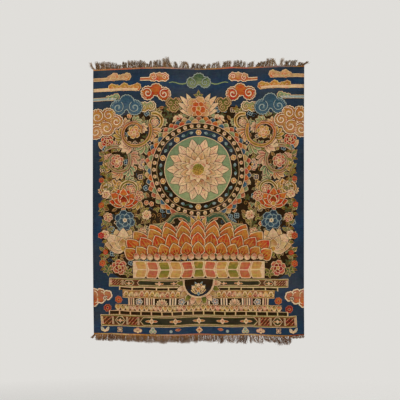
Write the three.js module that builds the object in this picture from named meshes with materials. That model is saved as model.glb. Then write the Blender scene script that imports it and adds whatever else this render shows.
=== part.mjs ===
// A tapestry-woven silk hanging: one cloth with its warp ends left as a fringe at both ends.
// Millimetres, +Z up. The front faces -Y. The origin is the middle of the cloth's top edge.
import * as THREE from 'three';

const clothThickness = 1.2;
const panelColumns = 28;
const panelRows = 34;
const fringeGap = 0.3;        // between the cloth's edge and the heading of a fringe
const fringeThickness = 1.6;
const headingHeight = 3.5;    // the knotted strip that the warp ends leave from
const toothShare = 0.8;       // how much of its pitch a tooth's root fills
const raggedness = 0.1;       // how much the lengths of neighbouring teeth differ

// Where the two selvedges run: how far down the cloth, and how far across each one is there.
const selvedges = [
  { down: 0.00, left: -399, right: 401 },
  { down: 0.30, left: -401, right: 400 },
  { down: 0.60, left: -401, right: 399 },
  { down: 0.85, left: -399, right: 400 },
  { down: 1.00, left: -396, right: 401.5 },
];

// The top edge dips in the middle and at the left, and rises towards the right.
const topEdge = [
  { across: -399, height: -4.9 },
  { across: -337, height: -1.5 },
  { across: -272, height: 1.9 },
  { across: -219, height: 4.6 },
  { across: -131, height: 5.7 },
  { across: -70, height: 3.0 },
  { across: 0, height: 0 },
  { across: 63, height: 1.9 },
  { across: 131, height: 6.5 },
  { across: 181, height: 4.9 },
  { across: 234, height: 8.0 },
  { across: 299, height: 10.7 },
  { across: 401, height: 11.4 },
];

// The bottom edge hangs lower towards the right, and its left corner rides up.
const bottomEdge = [
  { across: -396, height: -1005.8 },
  { across: -329, height: -1007.3 },
  { across: -260, height: -1011.5 },
  { across: -165, height: -1012.6 },
  { across: -67, height: -1013.4 },
  { across: 0, height: -1010.0 },
  { across: 82, height: -1011.5 },
  { across: 196, height: -1011.5 },
  { across: 291, height: -1015.3 },
  { across: 337, height: -1016.0 },
  { across: 401, height: -1012.3 },
];

// Soft upright folds: where each runs at the top and at the bottom, half its width,
// and how far it stands towards the front at both ends. A negative one is a trough.
const folds = [
  { atTop: -345, atBottom: -352, halfWidth: 75, topDepth: 1.5, bottomDepth: 5.0 },
  { atTop: -240, atBottom: -228, halfWidth: 85, topDepth: -2.0, bottomDepth: -5.5 },
  { atTop: -135, atBottom: -150, halfWidth: 80, topDepth: 3.0, bottomDepth: 4.5 },
  { atTop: -10, atBottom: -30, halfWidth: 100, topDepth: -2.0, bottomDepth: -4.0 },
  { atTop: 128, atBottom: 90, halfWidth: 80, topDepth: 2.5, bottomDepth: 5.5 },
  { atTop: 200, atBottom: 205, halfWidth: 75, topDepth: -2.0, bottomDepth: -5.0 },
  { atTop: 310, atBottom: 320, halfWidth: 85, topDepth: 2.0, bottomDepth: 4.5 },
];

// Shallow level waves left by the roll that the cloth was stored on, and the lift of its corners.
const rollWaves = { count: 5.5, depth: 1.2, startTurn: 0.6 };
const corners = [
  { across: -399, down: 0, reach: 70, depth: 4.0 },
  { across: 401, down: 0, reach: 60, depth: 3.0 },
  { across: -396, down: 1, reach: 110, depth: 9.0 },
  { across: 401, down: 1, reach: 90, depth: -5.0 },
];

// Tufts of warp ends, left to right: the stretch of edge each grows from, how many teeth it has,
// how long they are, and how far their tips lean across and towards the front.
const topTufts = [
  { from: -398, to: -391, teeth: 1, length: 29, lean: -15, forward: 4 },
  { from: -389, to: -331, teeth: 6, length: 28, lean: -4, forward: 3 },
  { from: -329, to: -313, teeth: 2, length: 23, lean: 1, forward: 1 },
  { from: -311, to: -291, teeth: 2, length: 14, lean: 5, forward: 5 },
  { from: -287, to: -271, teeth: 2, length: 22, lean: -3, forward: 1 },
  { from: -268, to: -208, teeth: 6, length: 26, lean: 1, forward: 2 },
  { from: -204, to: -189, teeth: 2, length: 17, lean: -6, forward: 4 },
  { from: -186, to: -178, teeth: 1, length: 27, lean: 1, forward: 0 },
  { from: -168, to: -140, teeth: 3, length: 26, lean: -3, forward: 2 },
  { from: -138, to: -112, teeth: 3, length: 33, lean: -2, forward: 3 },
  { from: -104, to: -96, teeth: 1, length: 20, lean: -9, forward: 5 },
  { from: -90, to: -78, teeth: 1, length: 25, lean: -5, forward: 1 },
  { from: -68, to: -58, teeth: 1, length: 24, lean: 6, forward: 2 },
  { from: -47, to: -38, teeth: 1, length: 26, lean: -6, forward: 1 },
  { from: -29, to: 21, teeth: 4, length: 17, lean: 4, forward: 6 },
  { from: 32, to: 58, teeth: 2, length: 19, lean: 3, forward: 4 },
  { from: 70, to: 80, teeth: 1, length: 25, lean: -3, forward: 1 },
  { from: 87, to: 121, teeth: 3, length: 26, lean: 4, forward: 1 },
  { from: 128, to: 173, teeth: 4, length: 23, lean: 5, forward: 3 },
  { from: 187, to: 207, teeth: 2, length: 19, lean: 3, forward: 5 },
  { from: 215, to: 252, teeth: 3, length: 18, lean: 4, forward: 6 },
  { from: 254, to: 278, teeth: 2, length: 28, lean: 4, forward: 2 },
  { from: 290, to: 299, teeth: 1, length: 27, lean: -9, forward: 1 },
  { from: 308, to: 317, teeth: 1, length: 32, lean: 6, forward: 0 },
  { from: 323, to: 368, teeth: 4, length: 19, lean: 4, forward: 5 },
  { from: 371, to: 388, teeth: 2, length: 12, lean: 4, forward: 6 },
  { from: 391, to: 400, teeth: 1, length: 17, lean: 20, forward: 3 },
];

const bottomTufts = [
  { from: -395, to: -388, teeth: 1, length: 14, lean: -13, forward: 4 },
  { from: -386, to: -340, teeth: 5, length: 21, lean: -2, forward: 2 },
  { from: -338, to: -285, teeth: 6, length: 24, lean: 1, forward: -1 },
  { from: -283, to: -178, teeth: 11, length: 27, lean: 0, forward: 1 },
  { from: -176, to: -68, teeth: 11, length: 29, lean: 2, forward: 2 },
  { from: -66, to: 5, teeth: 7, length: 31, lean: 1, forward: 0 },
  { from: 7, to: 78, teeth: 7, length: 24, lean: -2, forward: 2 },
  { from: 80, to: 98, teeth: 2, length: 29, lean: -1, forward: 1 },
  { from: 102, to: 150, teeth: 4, length: 32, lean: 3, forward: 3 },
  { from: 158, to: 186, teeth: 3, length: 29, lean: -3, forward: 2 },
  { from: 189, to: 240, teeth: 4, length: 32, lean: 5, forward: 2 },
  { from: 244, to: 286, teeth: 4, length: 25, lean: 6, forward: 1 },
  { from: 288, to: 335, teeth: 4, length: 33, lean: 9, forward: 2 },
  { from: 345, to: 352, teeth: 1, length: 28, lean: -2, forward: 1 },
  { from: 356, to: 398, teeth: 4, length: 11, lean: 2, forward: -3 },
];

// The shape of a tooth, from its left root over its tip to its right root, in shares of its half width,
// its lean and its length.
const toothShape = [
  { aside: -1, lean: 0, out: 0 },
  { aside: -0.8, lean: 0.35, out: 0.55 },
  { aside: -0.4, lean: 1, out: 0.94 },
  { aside: 0.3, lean: 1, out: 1 },
  { aside: 0.8, lean: 0.35, out: 0.52 },
  { aside: 1, lean: 0, out: 0 },
];

const silkTapestry = new THREE.MeshStandardMaterial({ color: 0x7e6245, roughness: 0.82, metalness: 0 });
const warpEndsDark = new THREE.MeshStandardMaterial({ color: 0x5a4636, roughness: 0.85, metalness: 0 });
const warpEndsLight = new THREE.MeshStandardMaterial({ color: 0x6b5646, roughness: 0.85, metalness: 0 });

// A smooth value between the rows of a table: each row gives a place and a value.
function between(table, placeName, valueName, place) {
  let next = table.findIndex((row) => row[placeName] > place);
  if (next === 0) next = 1;
  if (next < 0) next = table.length - 1;
  const before = table[next - 1];
  const after = table[next];
  const share = (place - before[placeName]) / (after[placeName] - before[placeName]);
  const eased = THREE.MathUtils.smoothstep(share, 0, 1);
  return THREE.MathUtils.lerp(before[valueName], after[valueName], eased);
}

// A rounded bump: 1 in the middle, level at its foot, 0 past its half width.
function softBump(distance, halfWidth) {
  const share = Math.min(Math.abs(distance) / halfWidth, 1);
  return 0.5 + 0.5 * Math.cos(Math.PI * share);
}

// How far the cloth stands towards the front at a place across and down it.
function clothForward(across, down) {
  let forward = 0;
  for (const fold of folds) {
    const middle = THREE.MathUtils.lerp(fold.atTop, fold.atBottom, down);
    const depth = THREE.MathUtils.lerp(fold.topDepth, fold.bottomDepth, down);
    forward += depth * softBump(across - middle, fold.halfWidth);
  }
  const turn = 2 * Math.PI * (rollWaves.count * down + rollWaves.startTurn);
  forward += rollWaves.depth * Math.sin(turn) * Math.sin(Math.PI * down);
  for (const corner of corners) {
    const height = between(bottomEdge, 'across', 'height', across);
    const away = Math.hypot(across - corner.across, (down - corner.down) * height);
    forward += corner.depth * softBump(away, corner.reach);
  }
  return forward;
}

// The middle of the cloth's thickness, where "along" runs from the left selvedge (0) to the right (1).
function clothPoint(along, down) {
  const left = between(selvedges, 'down', 'left', down);
  const right = between(selvedges, 'down', 'right', down);
  const across = THREE.MathUtils.lerp(left, right, along);
  const top = between(topEdge, 'across', 'height', across);
  const bottom = between(bottomEdge, 'across', 'height', across);
  return new THREE.Vector3(across, -clothForward(across, down), THREE.MathUtils.lerp(top, bottom, down));
}

// A closed sheet: a front grid, a back grid and a rim of quads round the edge.
function sheetGeometry(columns, rows, thickness, pointAt) {
  const positions = [];
  const faces = [];
  for (const side of [-0.5, 0.5]) {
    for (let row = 0; row <= rows; row++) {
      for (let column = 0; column <= columns; column++) {
        const point = pointAt(column / columns, row / rows);
        positions.push(point.x, point.y + side * thickness, point.z);
      }
    }
  }
  const across = columns + 1;
  const backStart = across * (rows + 1);
  const quad = (a, b, c, d) => faces.push(a, b, c, a, c, d);
  for (let row = 0; row < rows; row++) {
    for (let column = 0; column < columns; column++) {
      const topLeft = row * across + column;
      const bottomLeft = topLeft + across;
      quad(topLeft, bottomLeft, bottomLeft + 1, topLeft + 1);
      quad(backStart + topLeft, backStart + topLeft + 1, backStart + bottomLeft + 1, backStart + bottomLeft);
    }
  }
  const rim = [];
  for (let row = 0; row < rows; row++) rim.push(row * across);
  for (let column = 0; column < columns; column++) rim.push(rows * across + column);
  for (let row = rows; row > 0; row--) rim.push(row * across + columns);
  for (let column = columns; column > 0; column--) rim.push(column);
  rim.forEach((here, place) => {
    const next = rim[(place + 1) % rim.length];
    quad(here, backStart + here, backStart + next, next);
  });
  const geometry = new THREE.BufferGeometry();
  geometry.setAttribute('position', new THREE.Float32BufferAttribute(positions, 3));
  geometry.setIndex(faces);
  geometry.computeVertexNormals();
  return geometry;
}

// The outline of one fringe tooth from its left root to its right: across, and out from the heading.
function toothOutline(middle, halfWidth, length, lean) {
  return toothShape.map((corner) => {
    const across = middle + corner.aside * halfWidth + corner.lean * lean;
    return [across, corner.out * length];
  });
}

// The teeth of every tuft, left to right. Their lengths vary, so that a tuft has a ragged edge.
function fringeTeeth(tufts) {
  const teeth = [];
  for (const tuft of tufts) {
    const pitch = (tuft.to - tuft.from) / tuft.teeth;
    for (let tooth = 0; tooth < tuft.teeth; tooth++) {
      const middle = tuft.from + pitch * (tooth + 0.5);
      const length = tuft.length * (1 + raggedness * Math.sin(middle));
      const outline = toothOutline(middle, toothShare * pitch / 2, length, tuft.lean);
      teeth.push({ middle, outline, slope: tuft.forward / tuft.length });
    }
  }
  return teeth;
}

// A comb of warp ends along the cloth's top edge (down 0) or bottom edge (down 1): a flat outline is
// extruded, stood up, and bent to the folds of the edge it grows from. Its tips lean out of the cloth's face.
function fringeGeometry(tufts, down) {
  const outward = down === 0 ? 1 : -1;
  const edge = down === 0 ? topEdge : bottomEdge;
  const teeth = fringeTeeth(tufts);
  const rise = outward * (fringeGap + headingHeight);
  const headingAt = (across) => between(edge, 'across', 'height', across) + rise;

  const outline = [];
  for (let column = 0; column <= panelColumns; column++) {
    const point = clothPoint(column / panelColumns, down);
    outline.push(new THREE.Vector2(point.x, point.z + outward * fringeGap));
  }
  const ends = [outline.at(-1).x, outline[0].x];
  const toothPoints = teeth.flatMap((tooth) => tooth.outline).reverse();
  for (const [across, out] of [[ends[0], 0], ...toothPoints, [ends[1], 0]]) {
    outline.push(new THREE.Vector2(across, headingAt(across) + outward * out));
  }

  const options = { depth: fringeThickness, bevelEnabled: false };
  const geometry = new THREE.ExtrudeGeometry(new THREE.Shape(outline), options);
  geometry.translate(0, 0, -fringeThickness / 2);
  geometry.rotateX(Math.PI / 2);
  const positions = geometry.getAttribute('position');
  for (let index = 0; index < positions.count; index++) {
    const across = positions.getX(index);
    const out = Math.max(outward * (positions.getZ(index) - headingAt(across)), 0);
    const forward = clothForward(across, down) + out * between(teeth, 'middle', 'slope', across);
    positions.setY(index, positions.getY(index) - forward);
  }
  geometry.computeVertexNormals();
  return geometry;
}

function namedMesh(name, geometry, material) {
  const mesh = new THREE.Mesh(geometry, material);
  mesh.name = name;
  return mesh;
}

const panelGeometry = sheetGeometry(panelColumns, panelRows, clothThickness, clothPoint);

const group = new THREE.Group();
group.add(
  namedMesh('woven_panel', panelGeometry, silkTapestry),
  namedMesh('top_fringe', fringeGeometry(topTufts, 0), warpEndsDark),
  namedMesh('bottom_fringe', fringeGeometry(bottomTufts, 1), warpEndsLight),
);

export default group;
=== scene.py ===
import cmath
import math
import random

import bpy
import numpy as np
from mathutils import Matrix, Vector
from mathutils.bvhtree import BVHTree
from mathutils.geometry import delaunay_2d_cdt


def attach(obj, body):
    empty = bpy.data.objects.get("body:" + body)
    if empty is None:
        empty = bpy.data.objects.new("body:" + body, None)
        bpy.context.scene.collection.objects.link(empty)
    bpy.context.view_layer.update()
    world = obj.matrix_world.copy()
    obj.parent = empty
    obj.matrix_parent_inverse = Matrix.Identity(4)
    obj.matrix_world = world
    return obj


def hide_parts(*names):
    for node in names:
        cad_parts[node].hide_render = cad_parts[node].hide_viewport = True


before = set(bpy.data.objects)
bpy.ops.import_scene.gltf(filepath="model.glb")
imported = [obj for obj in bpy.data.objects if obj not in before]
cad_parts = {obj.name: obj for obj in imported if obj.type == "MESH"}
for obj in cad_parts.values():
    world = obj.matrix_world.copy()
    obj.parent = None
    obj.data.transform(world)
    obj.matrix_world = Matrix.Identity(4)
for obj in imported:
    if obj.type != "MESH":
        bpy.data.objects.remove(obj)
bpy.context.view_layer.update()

mm = 0.001
seeds = {"fillers": 7, "dyes": 5, "topFringe": 3, "bottomFringe": 5}      # for what is left to chance


def newObject(name, data):
    made = bpy.data.objects.new(name, data)
    bpy.context.scene.collection.objects.link(made)
    return made


def rows(names, *values):
    # A table: each row of values as a dictionary with these names.
    return [dict(zip(names.split(), row)) for row in values]


# How the cloth hangs, in millimetres: across from its middle, height from its top edge,
# forward towards the front. Down is the share of its length, 0 at the top and 1 at the bottom.
hanging = {
    "halfWidth": 400,
    "length": 1012,
    "thickness": 0.9,
    "selvedges": rows("down left right", (0.00, -399, 401), (0.30, -401, 400), (0.60, -401, 399),
                      (0.85, -399, 400), (1.00, -396, 401.5)),
    "topEdge": rows("across height", (-399, -4.9), (-337, -1.5), (-272, 1.9), (-219, 4.6), (-131, 5.7),
                    (-70, 3.0), (0, 0), (63, 1.9), (131, 6.5), (181, 4.9), (234, 8.0), (299, 10.7),
                    (401, 11.4)),
    "bottomEdge": rows("across height", (-396, -1005.8), (-329, -1007.3), (-260, -1011.5), (-165, -1012.6),
                       (-67, -1013.4), (0, -1010.0), (82, -1011.5), (196, -1011.5), (291, -1015.3),
                       (337, -1016.0), (401, -1012.3)),
    "folds": rows("atTop atBottom halfWidth topDepth bottomDepth",
                  (-345, -352, 75, 1.5, 5.0),
                  (-240, -228, 85, -2.0, -5.5),
                  (-135, -150, 80, 3.0, 4.5),
                  (-10, -30, 100, -2.0, -4.0),
                  (128, 90, 80, 2.5, 5.5),
                  (200, 205, 75, -2.0, -5.0),
                  (310, 320, 85, 2.0, 4.5)),
    "rollWaves": {"count": 5.5, "depth": 1.2, "startTurn": 0.6},     # level waves, from lying rolled up
    "corners": rows("across down reach depth", (-399, 0, 70, 4.0), (401, 0, 60, 3.0), (-396, 1, 110, 9.0),
                    (401, 1, 90, -5.0)),
    "cockle": {                                 # the small puckers of a slit-woven cloth
        "pitch": 38,
        "depth": 0.45,
        "edgeFade": 12,
        "waves": rows("pace sway swayPace start", (2.9, 1.7, 0.9, 0), (2.3, 1.3, 1.1, 2)),
    },
}


def between(table, placeName, valueName, at):
    # A smooth value between the rows of a table.
    places = np.array([row[placeName] for row in table], float)
    values = np.array([row[valueName] for row in table], float)
    nextRow = np.clip(np.searchsorted(places, at, side="right"), 1, len(table) - 1)
    share = np.clip((at - places[nextRow - 1]) / (places[nextRow] - places[nextRow - 1]), 0, 1)
    eased = share * share * (3 - 2 * share)
    return values[nextRow - 1] + (values[nextRow] - values[nextRow - 1]) * eased


def softBump(distance, halfWidth):
    return 0.5 + 0.5 * np.cos(np.pi * np.minimum(np.abs(distance) / halfWidth, 1))


def clothForward(across, down):
    # How far the cloth stands towards the front: its upright folds, roll waves and lifted corners.
    forward = np.zeros_like(across)
    for fold in hanging["folds"]:
        middle = fold["atTop"] + (fold["atBottom"] - fold["atTop"]) * down
        depth = fold["topDepth"] + (fold["bottomDepth"] - fold["topDepth"]) * down
        forward += depth * softBump(across - middle, fold["halfWidth"])
    waves = hanging["rollWaves"]
    turn = 2 * np.pi * (waves["count"] * down + waves["startTurn"])
    forward += waves["depth"] * np.sin(turn) * np.sin(np.pi * down)
    height = between(hanging["bottomEdge"], "across", "height", across)
    for corner in hanging["corners"]:
        away = np.hypot(across - corner["across"], (down - corner["down"]) * height)
        forward += corner["depth"] * softBump(away, corner["reach"])
    return forward


def cockled(across, down):
    # Small puckers, which fade out towards the edges: waves across the cloth times waves up it.
    cockle = hanging["cockle"]
    ways = across / cockle["pitch"], down * hanging["length"] / cockle["pitch"]
    puckers = 1.0
    for wave, along, aside in zip(cockle["waves"], ways, ways[::-1]):
        sway = wave["sway"] * np.sin(aside * wave["swayPace"] + wave["start"])
        puckers = puckers * np.sin(along * wave["pace"] + sway)
    edge = np.minimum(1 - np.abs(across) / hanging["halfWidth"], np.minimum(down, 1 - down) * 2)
    return cockle["depth"] * puckers * np.clip(edge * cockle["edgeFade"], 0, 1)


def hung(along, down):
    # Flat cloth to hanging cloth, in metres: along and down run from 0 to 1 over the flat piece.
    along, down = np.asarray(along, float), np.asarray(down, float)
    left = between(hanging["selvedges"], "down", "left", down)
    right = between(hanging["selvedges"], "down", "right", down)
    across = left + (right - left) * along
    top = between(hanging["topEdge"], "across", "height", across)
    bottom = between(hanging["bottomEdge"], "across", "height", across)
    forward = clothForward(across, down) + cockled(across, down)
    return np.stack([across, -forward, top + (bottom - top) * down], -1) * mm


# The dyed silks, as they look by daylight.
silks = {
    "navy": (40, 54, 68), "blue": (34, 57, 80), "midnight": (29, 38, 49), "ink": (43, 27, 5),
    "bark": (46, 44, 28), "brown": (86, 54, 24), "cream": (228, 188, 142), "pale": (238, 206, 166),
    "sand": (202, 158, 106), "tan": (170, 118, 60), "gold": (192, 142, 60), "ochre": (186, 124, 50),
    "honey": (214, 154, 84), "apricot": (194, 134, 80), "salmon": (182, 112, 76), "orange": (192, 98, 40),
    "vermilion": (180, 68, 26), "brick": (124, 42, 16), "crimson": (150, 42, 30), "rose": (190, 104, 70),
    "pink": (196, 142, 110), "lilac": (122, 104, 102), "celadon": (142, 152, 104), "sage": (114, 132, 96),
    "jade": (56, 86, 58), "moss": (86, 84, 34), "olive": (128, 118, 44), "steel": (70, 98, 110),
    "teal": (48, 76, 90), "mist": (156, 168, 158),
}

# How true the weaving is, in millimetres: lines are laid in short parts, which stray a little from their
# course in waves. Each wave has its height, its length, the length over which it shifts sideways, and
# where it starts.
handWork = {
    "part": 36,
    "calmEdge": 30,          # nothing strays at the edges of the cloth
    "aside": rows("height length shift start", (1.2, 43, math.inf, 0.7), (0.8, 16, 61, 0)),
    "up": rows("height length shift start", (1.1, 52, math.inf, 1.3), (0.7, 18, 67, 0)),
}

# What is woven, lowest first. Each has its silk, the silk that it shades into, its outline on the flat
# cloth, and the stretch over which it shades. Sizes are millimetres, as complex numbers.
cartoon = []
pen = {"at": 0j, "turn": 1 + 0j, "mirror": False}      # where the motif in hand lies on the cloth


def onCloth(point):
    return pen["at"] + pen["turn"] * (-point.conjugate() if pen["mirror"] else point)


def strayed(waves, along, across):
    return sum(wave["height"] * math.sin(along / wave["length"] + across / wave["shift"] + wave["start"])
               for wave in waves)


def handWoven(point):
    x, y = point.real, point.imag
    fromEdge = min(hanging["halfWidth"] - abs(x), -y, hanging["length"] + y)
    free = max(0, min(1, fromEdge / handWork["calmEdge"]))
    return point + free * complex(strayed(handWork["aside"], y, x), strayed(handWork["up"], x, y))


def lay(silk, outline, shade=None, span=(0j, 1j)):
    woven = []
    for spot, point in enumerate(outline):
        start, end = onCloth(outline[spot - 1]), onCloth(point)
        parts = max(1, round(abs(end - start) / handWork["part"]))
        woven.extend(handWoven(start + (end - start) * (part + 1) / parts) for part in range(parts))
    cartoon.append((silk, shade or silk, woven, (onCloth(span[0]), onCloth(span[1]))))


def place(motif, at=0j, size=1.0, degrees=0.0, mirror=False, **choices):
    outer = dict(pen)
    turn = size * cmath.exp(1j * math.radians(degrees))
    pen["at"] = onCloth(complex(at))
    pen["turn"] = outer["turn"] * (turn.conjugate() if outer["mirror"] else turn)
    pen["mirror"] = outer["mirror"] != mirror
    motif(**choices)
    pen.update(outer)


def bothSides(motif, at, **choices):
    place(motif, at, **choices)
    flipped = dict(choices, degrees=-choices.get("degrees", 0), mirror=not choices.get("mirror", False))
    place(motif, -complex(at).conjugate(), **flipped)


def onRing(radius, degrees):
    return radius * cmath.exp(1j * math.radians(degrees))


def fan(motif, at, spread, **choices):
    # The motif from one point to both sides. Spread gives each angle and its length.
    for degrees, length in spread:
        for side in ((-1, 1) if degrees else (0,)):
            place(motif, at, degrees=side * degrees, length=length, **choices)


def ringOf(motif, count, radius, shift=0.0, tones=(), **choices):
    # The motif at equal steps round a ring, each pointing outwards. Shift is a share of a step.
    for step in range(count):
        turn = 360 / count * (step + shift)
        if tones:
            choices["silk"], choices["shade"] = tones[step % len(tones)]
        place(motif, onRing(radius, turn + 90), degrees=turn, **choices)


def disc(centre, radius, sides=0):
    sides = sides or max(8, round(6 + radius * 0.55))
    return [centre + onRing(radius, 360 * step / sides) for step in range(sides)]


def scalloped(centre, radius, bumps, depth, start=0.0):
    points = []
    for step in range(bumps * 3):
        rise = depth if step % 3 else 0
        points.append(centre + onRing(radius + rise, start + 120 * step / bumps))
    return points


def box(left, bottom, right, top):
    return [complex(left, bottom), complex(right, bottom), complex(right, top), complex(left, top)]


def petalShape(length, width, steps=5, fullness=0.8):
    right = []
    steps += round(length / 25)
    for step in range(1, steps):
        share = step / steps
        half = width / 2 * math.sin(math.pi * share ** fullness) ** 0.8
        right.append(complex(half, share * length))
    return [0j] + right + [complex(0, length)] + [-point.conjugate() for point in reversed(right)]


def grown(outline, by):
    points = []
    for spot, point in enumerate(outline):
        along = outline[(spot + 1) % len(outline)] - outline[spot - 1]
        points.append(point - 1j * by * along / (abs(along) or 1))
    return points


def stroke(line, width, endWidth=None):
    # A line with width, which may differ at its end.
    endWidth = width if endWidth is None else endWidth
    right, left = [], []
    last = len(line) - 1
    for spot, point in enumerate(line):
        along = line[min(spot + 1, last)] - line[max(spot - 1, 0)]
        share = spot / last
        half = (width + (endWidth - width) * share) / 2
        aside = -1j * half * along / (abs(along) or 1)
        right.append(point + aside)
        left.append(point - aside)
    return right + left[::-1]


def curl(radius, endRadius, turns, steps=16, start=0.0, power=1.0):
    line = []
    for step in range(steps + 1):
        share = step / steps
        line.append(onRing(radius + (endRadius - radius) * share ** power, start + 360 * turns * share))
    return line


def bend(start, end, bulge, steps=5):
    middle = (start + end) / 2 + 1j * (end - start) * bulge
    shares = [step / steps for step in range(steps + 1)]
    return [(1 - share) ** 2 * start + 2 * share * (1 - share) * middle + share * share * end
            for share in shares]


def rimmed(silk, outline, rim="cream", rimWidth=2.2, shade=None, span=(0j, 1j), contour=0.0):
    # A shape in a pale rim, and a dark contour round that where it lies on others.
    if contour:
        lay("ink", grown(outline, rimWidth + contour))
    lay(rim, grown(outline, rimWidth))
    lay(silk, outline, shade, span)


def petal(silk, shade, length, width, rim="cream", rimWidth=2.2, vein=None, fullness=0.8, contour=1.4):
    outline = petalShape(length, width, 5, fullness)
    rimmed(silk, outline, rim, rimWidth, shade, (0.1j * length, 0.85j * length), contour)
    if vein:
        lay(vein, stroke([0.12j * length, 0.45j * length, 0.76j * length], 2.2, 0.8))


def leaf(silk="moss", shade="olive", length=18.0, width=8.0, rim="sand", vein=None):
    outline = [0j, complex(width * 0.42, length * 0.3), complex(width * 0.45, length * 0.6), 1j * length,
               complex(-width * 0.5, length * 0.55), complex(-width * 0.35, length * 0.22)]
    rimmed(silk, outline, rim, 1.3, shade, (0j, 1j * length))
    if vein:
        lay(vein, stroke([0.1j * length, 0.8j * length], 1.4, 0.7))


def spray(silk="moss", shade="olive", rim="sand", leaves=3, length=18.0):
    for number in range(leaves):
        degrees = 75 * (number - (leaves - 1) / 2)
        reach = length * (1 if number == leaves // 2 else 0.8)
        place(leaf, degrees=degrees, silk=silk, shade=shade, rim=rim, length=reach, width=reach * 0.46)


def frond(silk="gold", shade="tan", length=44.0, lobes=4):
    # A leaf that bends to one side, with its lobes spread like a fan.
    for number in range(lobes):
        share = number / (lobes - 1)
        reach = length * (0.62 + 0.38 * math.sin(math.pi * (0.2 + 0.6 * share)))
        place(petal, 0.16j * length * share, degrees=-88 + 92 * share, silk=silk, shade=shade, length=reach,
              width=length * 0.4, rimWidth=2.4, fullness=1.0, contour=1.8)


def rosette(outer="crimson", shade="rose", heart="gold", rim="cream", petals=6, radius=10.0):
    for silk, further in ((rim, 1.9), (outer, 0)):
        for number in range(petals):
            spot = onRing(0.62 * radius, 360 * (number + 0.5) / petals)
            lay(silk, disc(spot, 2.3 * radius / (petals + 1) + further, 9), shade if silk == outer else None,
                (0j, spot * 1.5))
    lay(rim, disc(0j, 0.36 * radius, 8))
    lay(heart, disc(0j, 0.22 * radius, 7))


def tendril(silk="sand", radius=8.5):
    # A small curl on a short stalk.
    lay(silk, stroke(curl(radius, 1.4, 1.15, 12), 1.9, 1.2))
    lay(silk, stroke([radius + 0j, complex(radius + 1, -6), complex(radius - 2, -12)], 1.9, 1.0))


def knotFloret(radius=10.0, silk="midnight", rim="cream"):
    # A dark four-leaved floret in a pale outline.
    for further, colour in ((2.0, rim), (0, silk)):
        for degrees in (0, 90, 180, 270):
            lay(colour, disc(onRing(0.55 * radius, degrees), 0.5 * radius + further, 9))
    for degrees in (45, 135):
        lay(rim, stroke([onRing(0.62 * radius, degrees), onRing(-0.62 * radius, degrees)], 1.7))


def lotus(silk="rose", shade="cream", inner="sand", width=90.0, height=66.0, vein=None):
    # Seen from the side, back petals first: how far each leans and its share of the height, then their
    # share of the width, their two silks and their vein.
    for spread, wide, outer, tip, line in (
        (((78, 0.92), (22, 1.0)), 0.3, inner, silk, None),
        (((50, 1.04), (0, 0.98)), 0.32, silk, shade, vein),
        (((100, 0.62), (66, 0.7), (28, 0.66)), 0.22, shade, silk, None),
        (((0, 0.5),), 0.24, silk, inner, None),
    ):
        fan(petal, 0j, [(degrees, height * share) for degrees, share in spread], silk=outer, shade=tip,
            width=width * wide, vein=line, contour=1.5)
    rimmed("gold", disc(0j, width * 0.07, 10), "cream", 2.0)


def peony(silk="orange", shade="cream", deep="crimson", radius=36.0, rim="cream", heart="gold"):
    for degrees in range(18, 378, 60):
        at = onRing(radius * 0.62, degrees)
        outline = scalloped(at, radius * 0.36, 7, 2.2, degrees)
        rimmed(silk, outline, rim, 2.2, shade, (at * 0.5, at * 1.6), 1.4)
    for degrees in range(54, 414, 72):
        at = onRing(radius * 0.36, degrees)
        rimmed(deep, scalloped(at, radius * 0.24, 6, 1.8, degrees), rim, 1.9, silk, (at * 0.4, at * 1.8))
    rimmed(heart, scalloped(0j, radius * 0.17, 6, 1.4), rim, 1.8)
    lay(deep, disc(0j, radius * 0.08, 7))


def cloud(silk="orange", shade="vermilion", deep="brick", rim="pale", vein="pale", lobes=(), tail=0.0,
          drop=-12.0):
    # Lobes that run into one body. Each has its place, its radius, and the way and angle that it curls.
    low = min(y - radius for x, y, radius, spin, start in lobes)
    high = max(y + radius for x, y, radius, spin, start in lobes)
    whole = (1j * low, 1j * high)
    for colour, further in (("ink", 5.2), (rim, 3.6), (deep, 0.4), (silk, -1.4)):
        into = shade if colour == silk else None
        if tail:
            line = [complex(0, drop), complex(tail, drop)]
            lay(colour, stroke(line, 8 + 2 * further, 5 + 2 * further), into, whole)
        for x, y, radius, spin, start in lobes:
            bumps = max(6, round(radius * 0.62))
            lay(colour, scalloped(complex(x, y), radius + further, bumps, 2.2, start), into, whole)
    for x, y, radius, spin, start in lobes:
        if spin:
            place(cloudCurl, complex(x, y), vein=vein, deep=deep, radius=radius, spin=spin, start=start)


def cloudCurl(vein, deep, radius, spin, start):
    line = curl(radius * 0.95, 1.8, 1.35 * spin, 18, start, 0.8)
    lay(deep, stroke(line, 6.8, 4.6))
    lay(vein, stroke(line, 3.0, 2.2))
    if radius > 18:
        inner = curl(radius * 0.62, 5.0, 0.9 * spin, 14, start + 180 * spin, 0.9)
        lay(vein, stroke(inner, 1.9, 1.3))
        for number in range(5):       # short hachures between the curl and the rim
            degrees = start - spin * (24 + 17 * number)
            hatch = [onRing(radius * 1.02, degrees), onRing(radius * 0.76, degrees - 9 * spin)]
            lay(vein, stroke(hatch, 2.2, 0.8))


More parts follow.
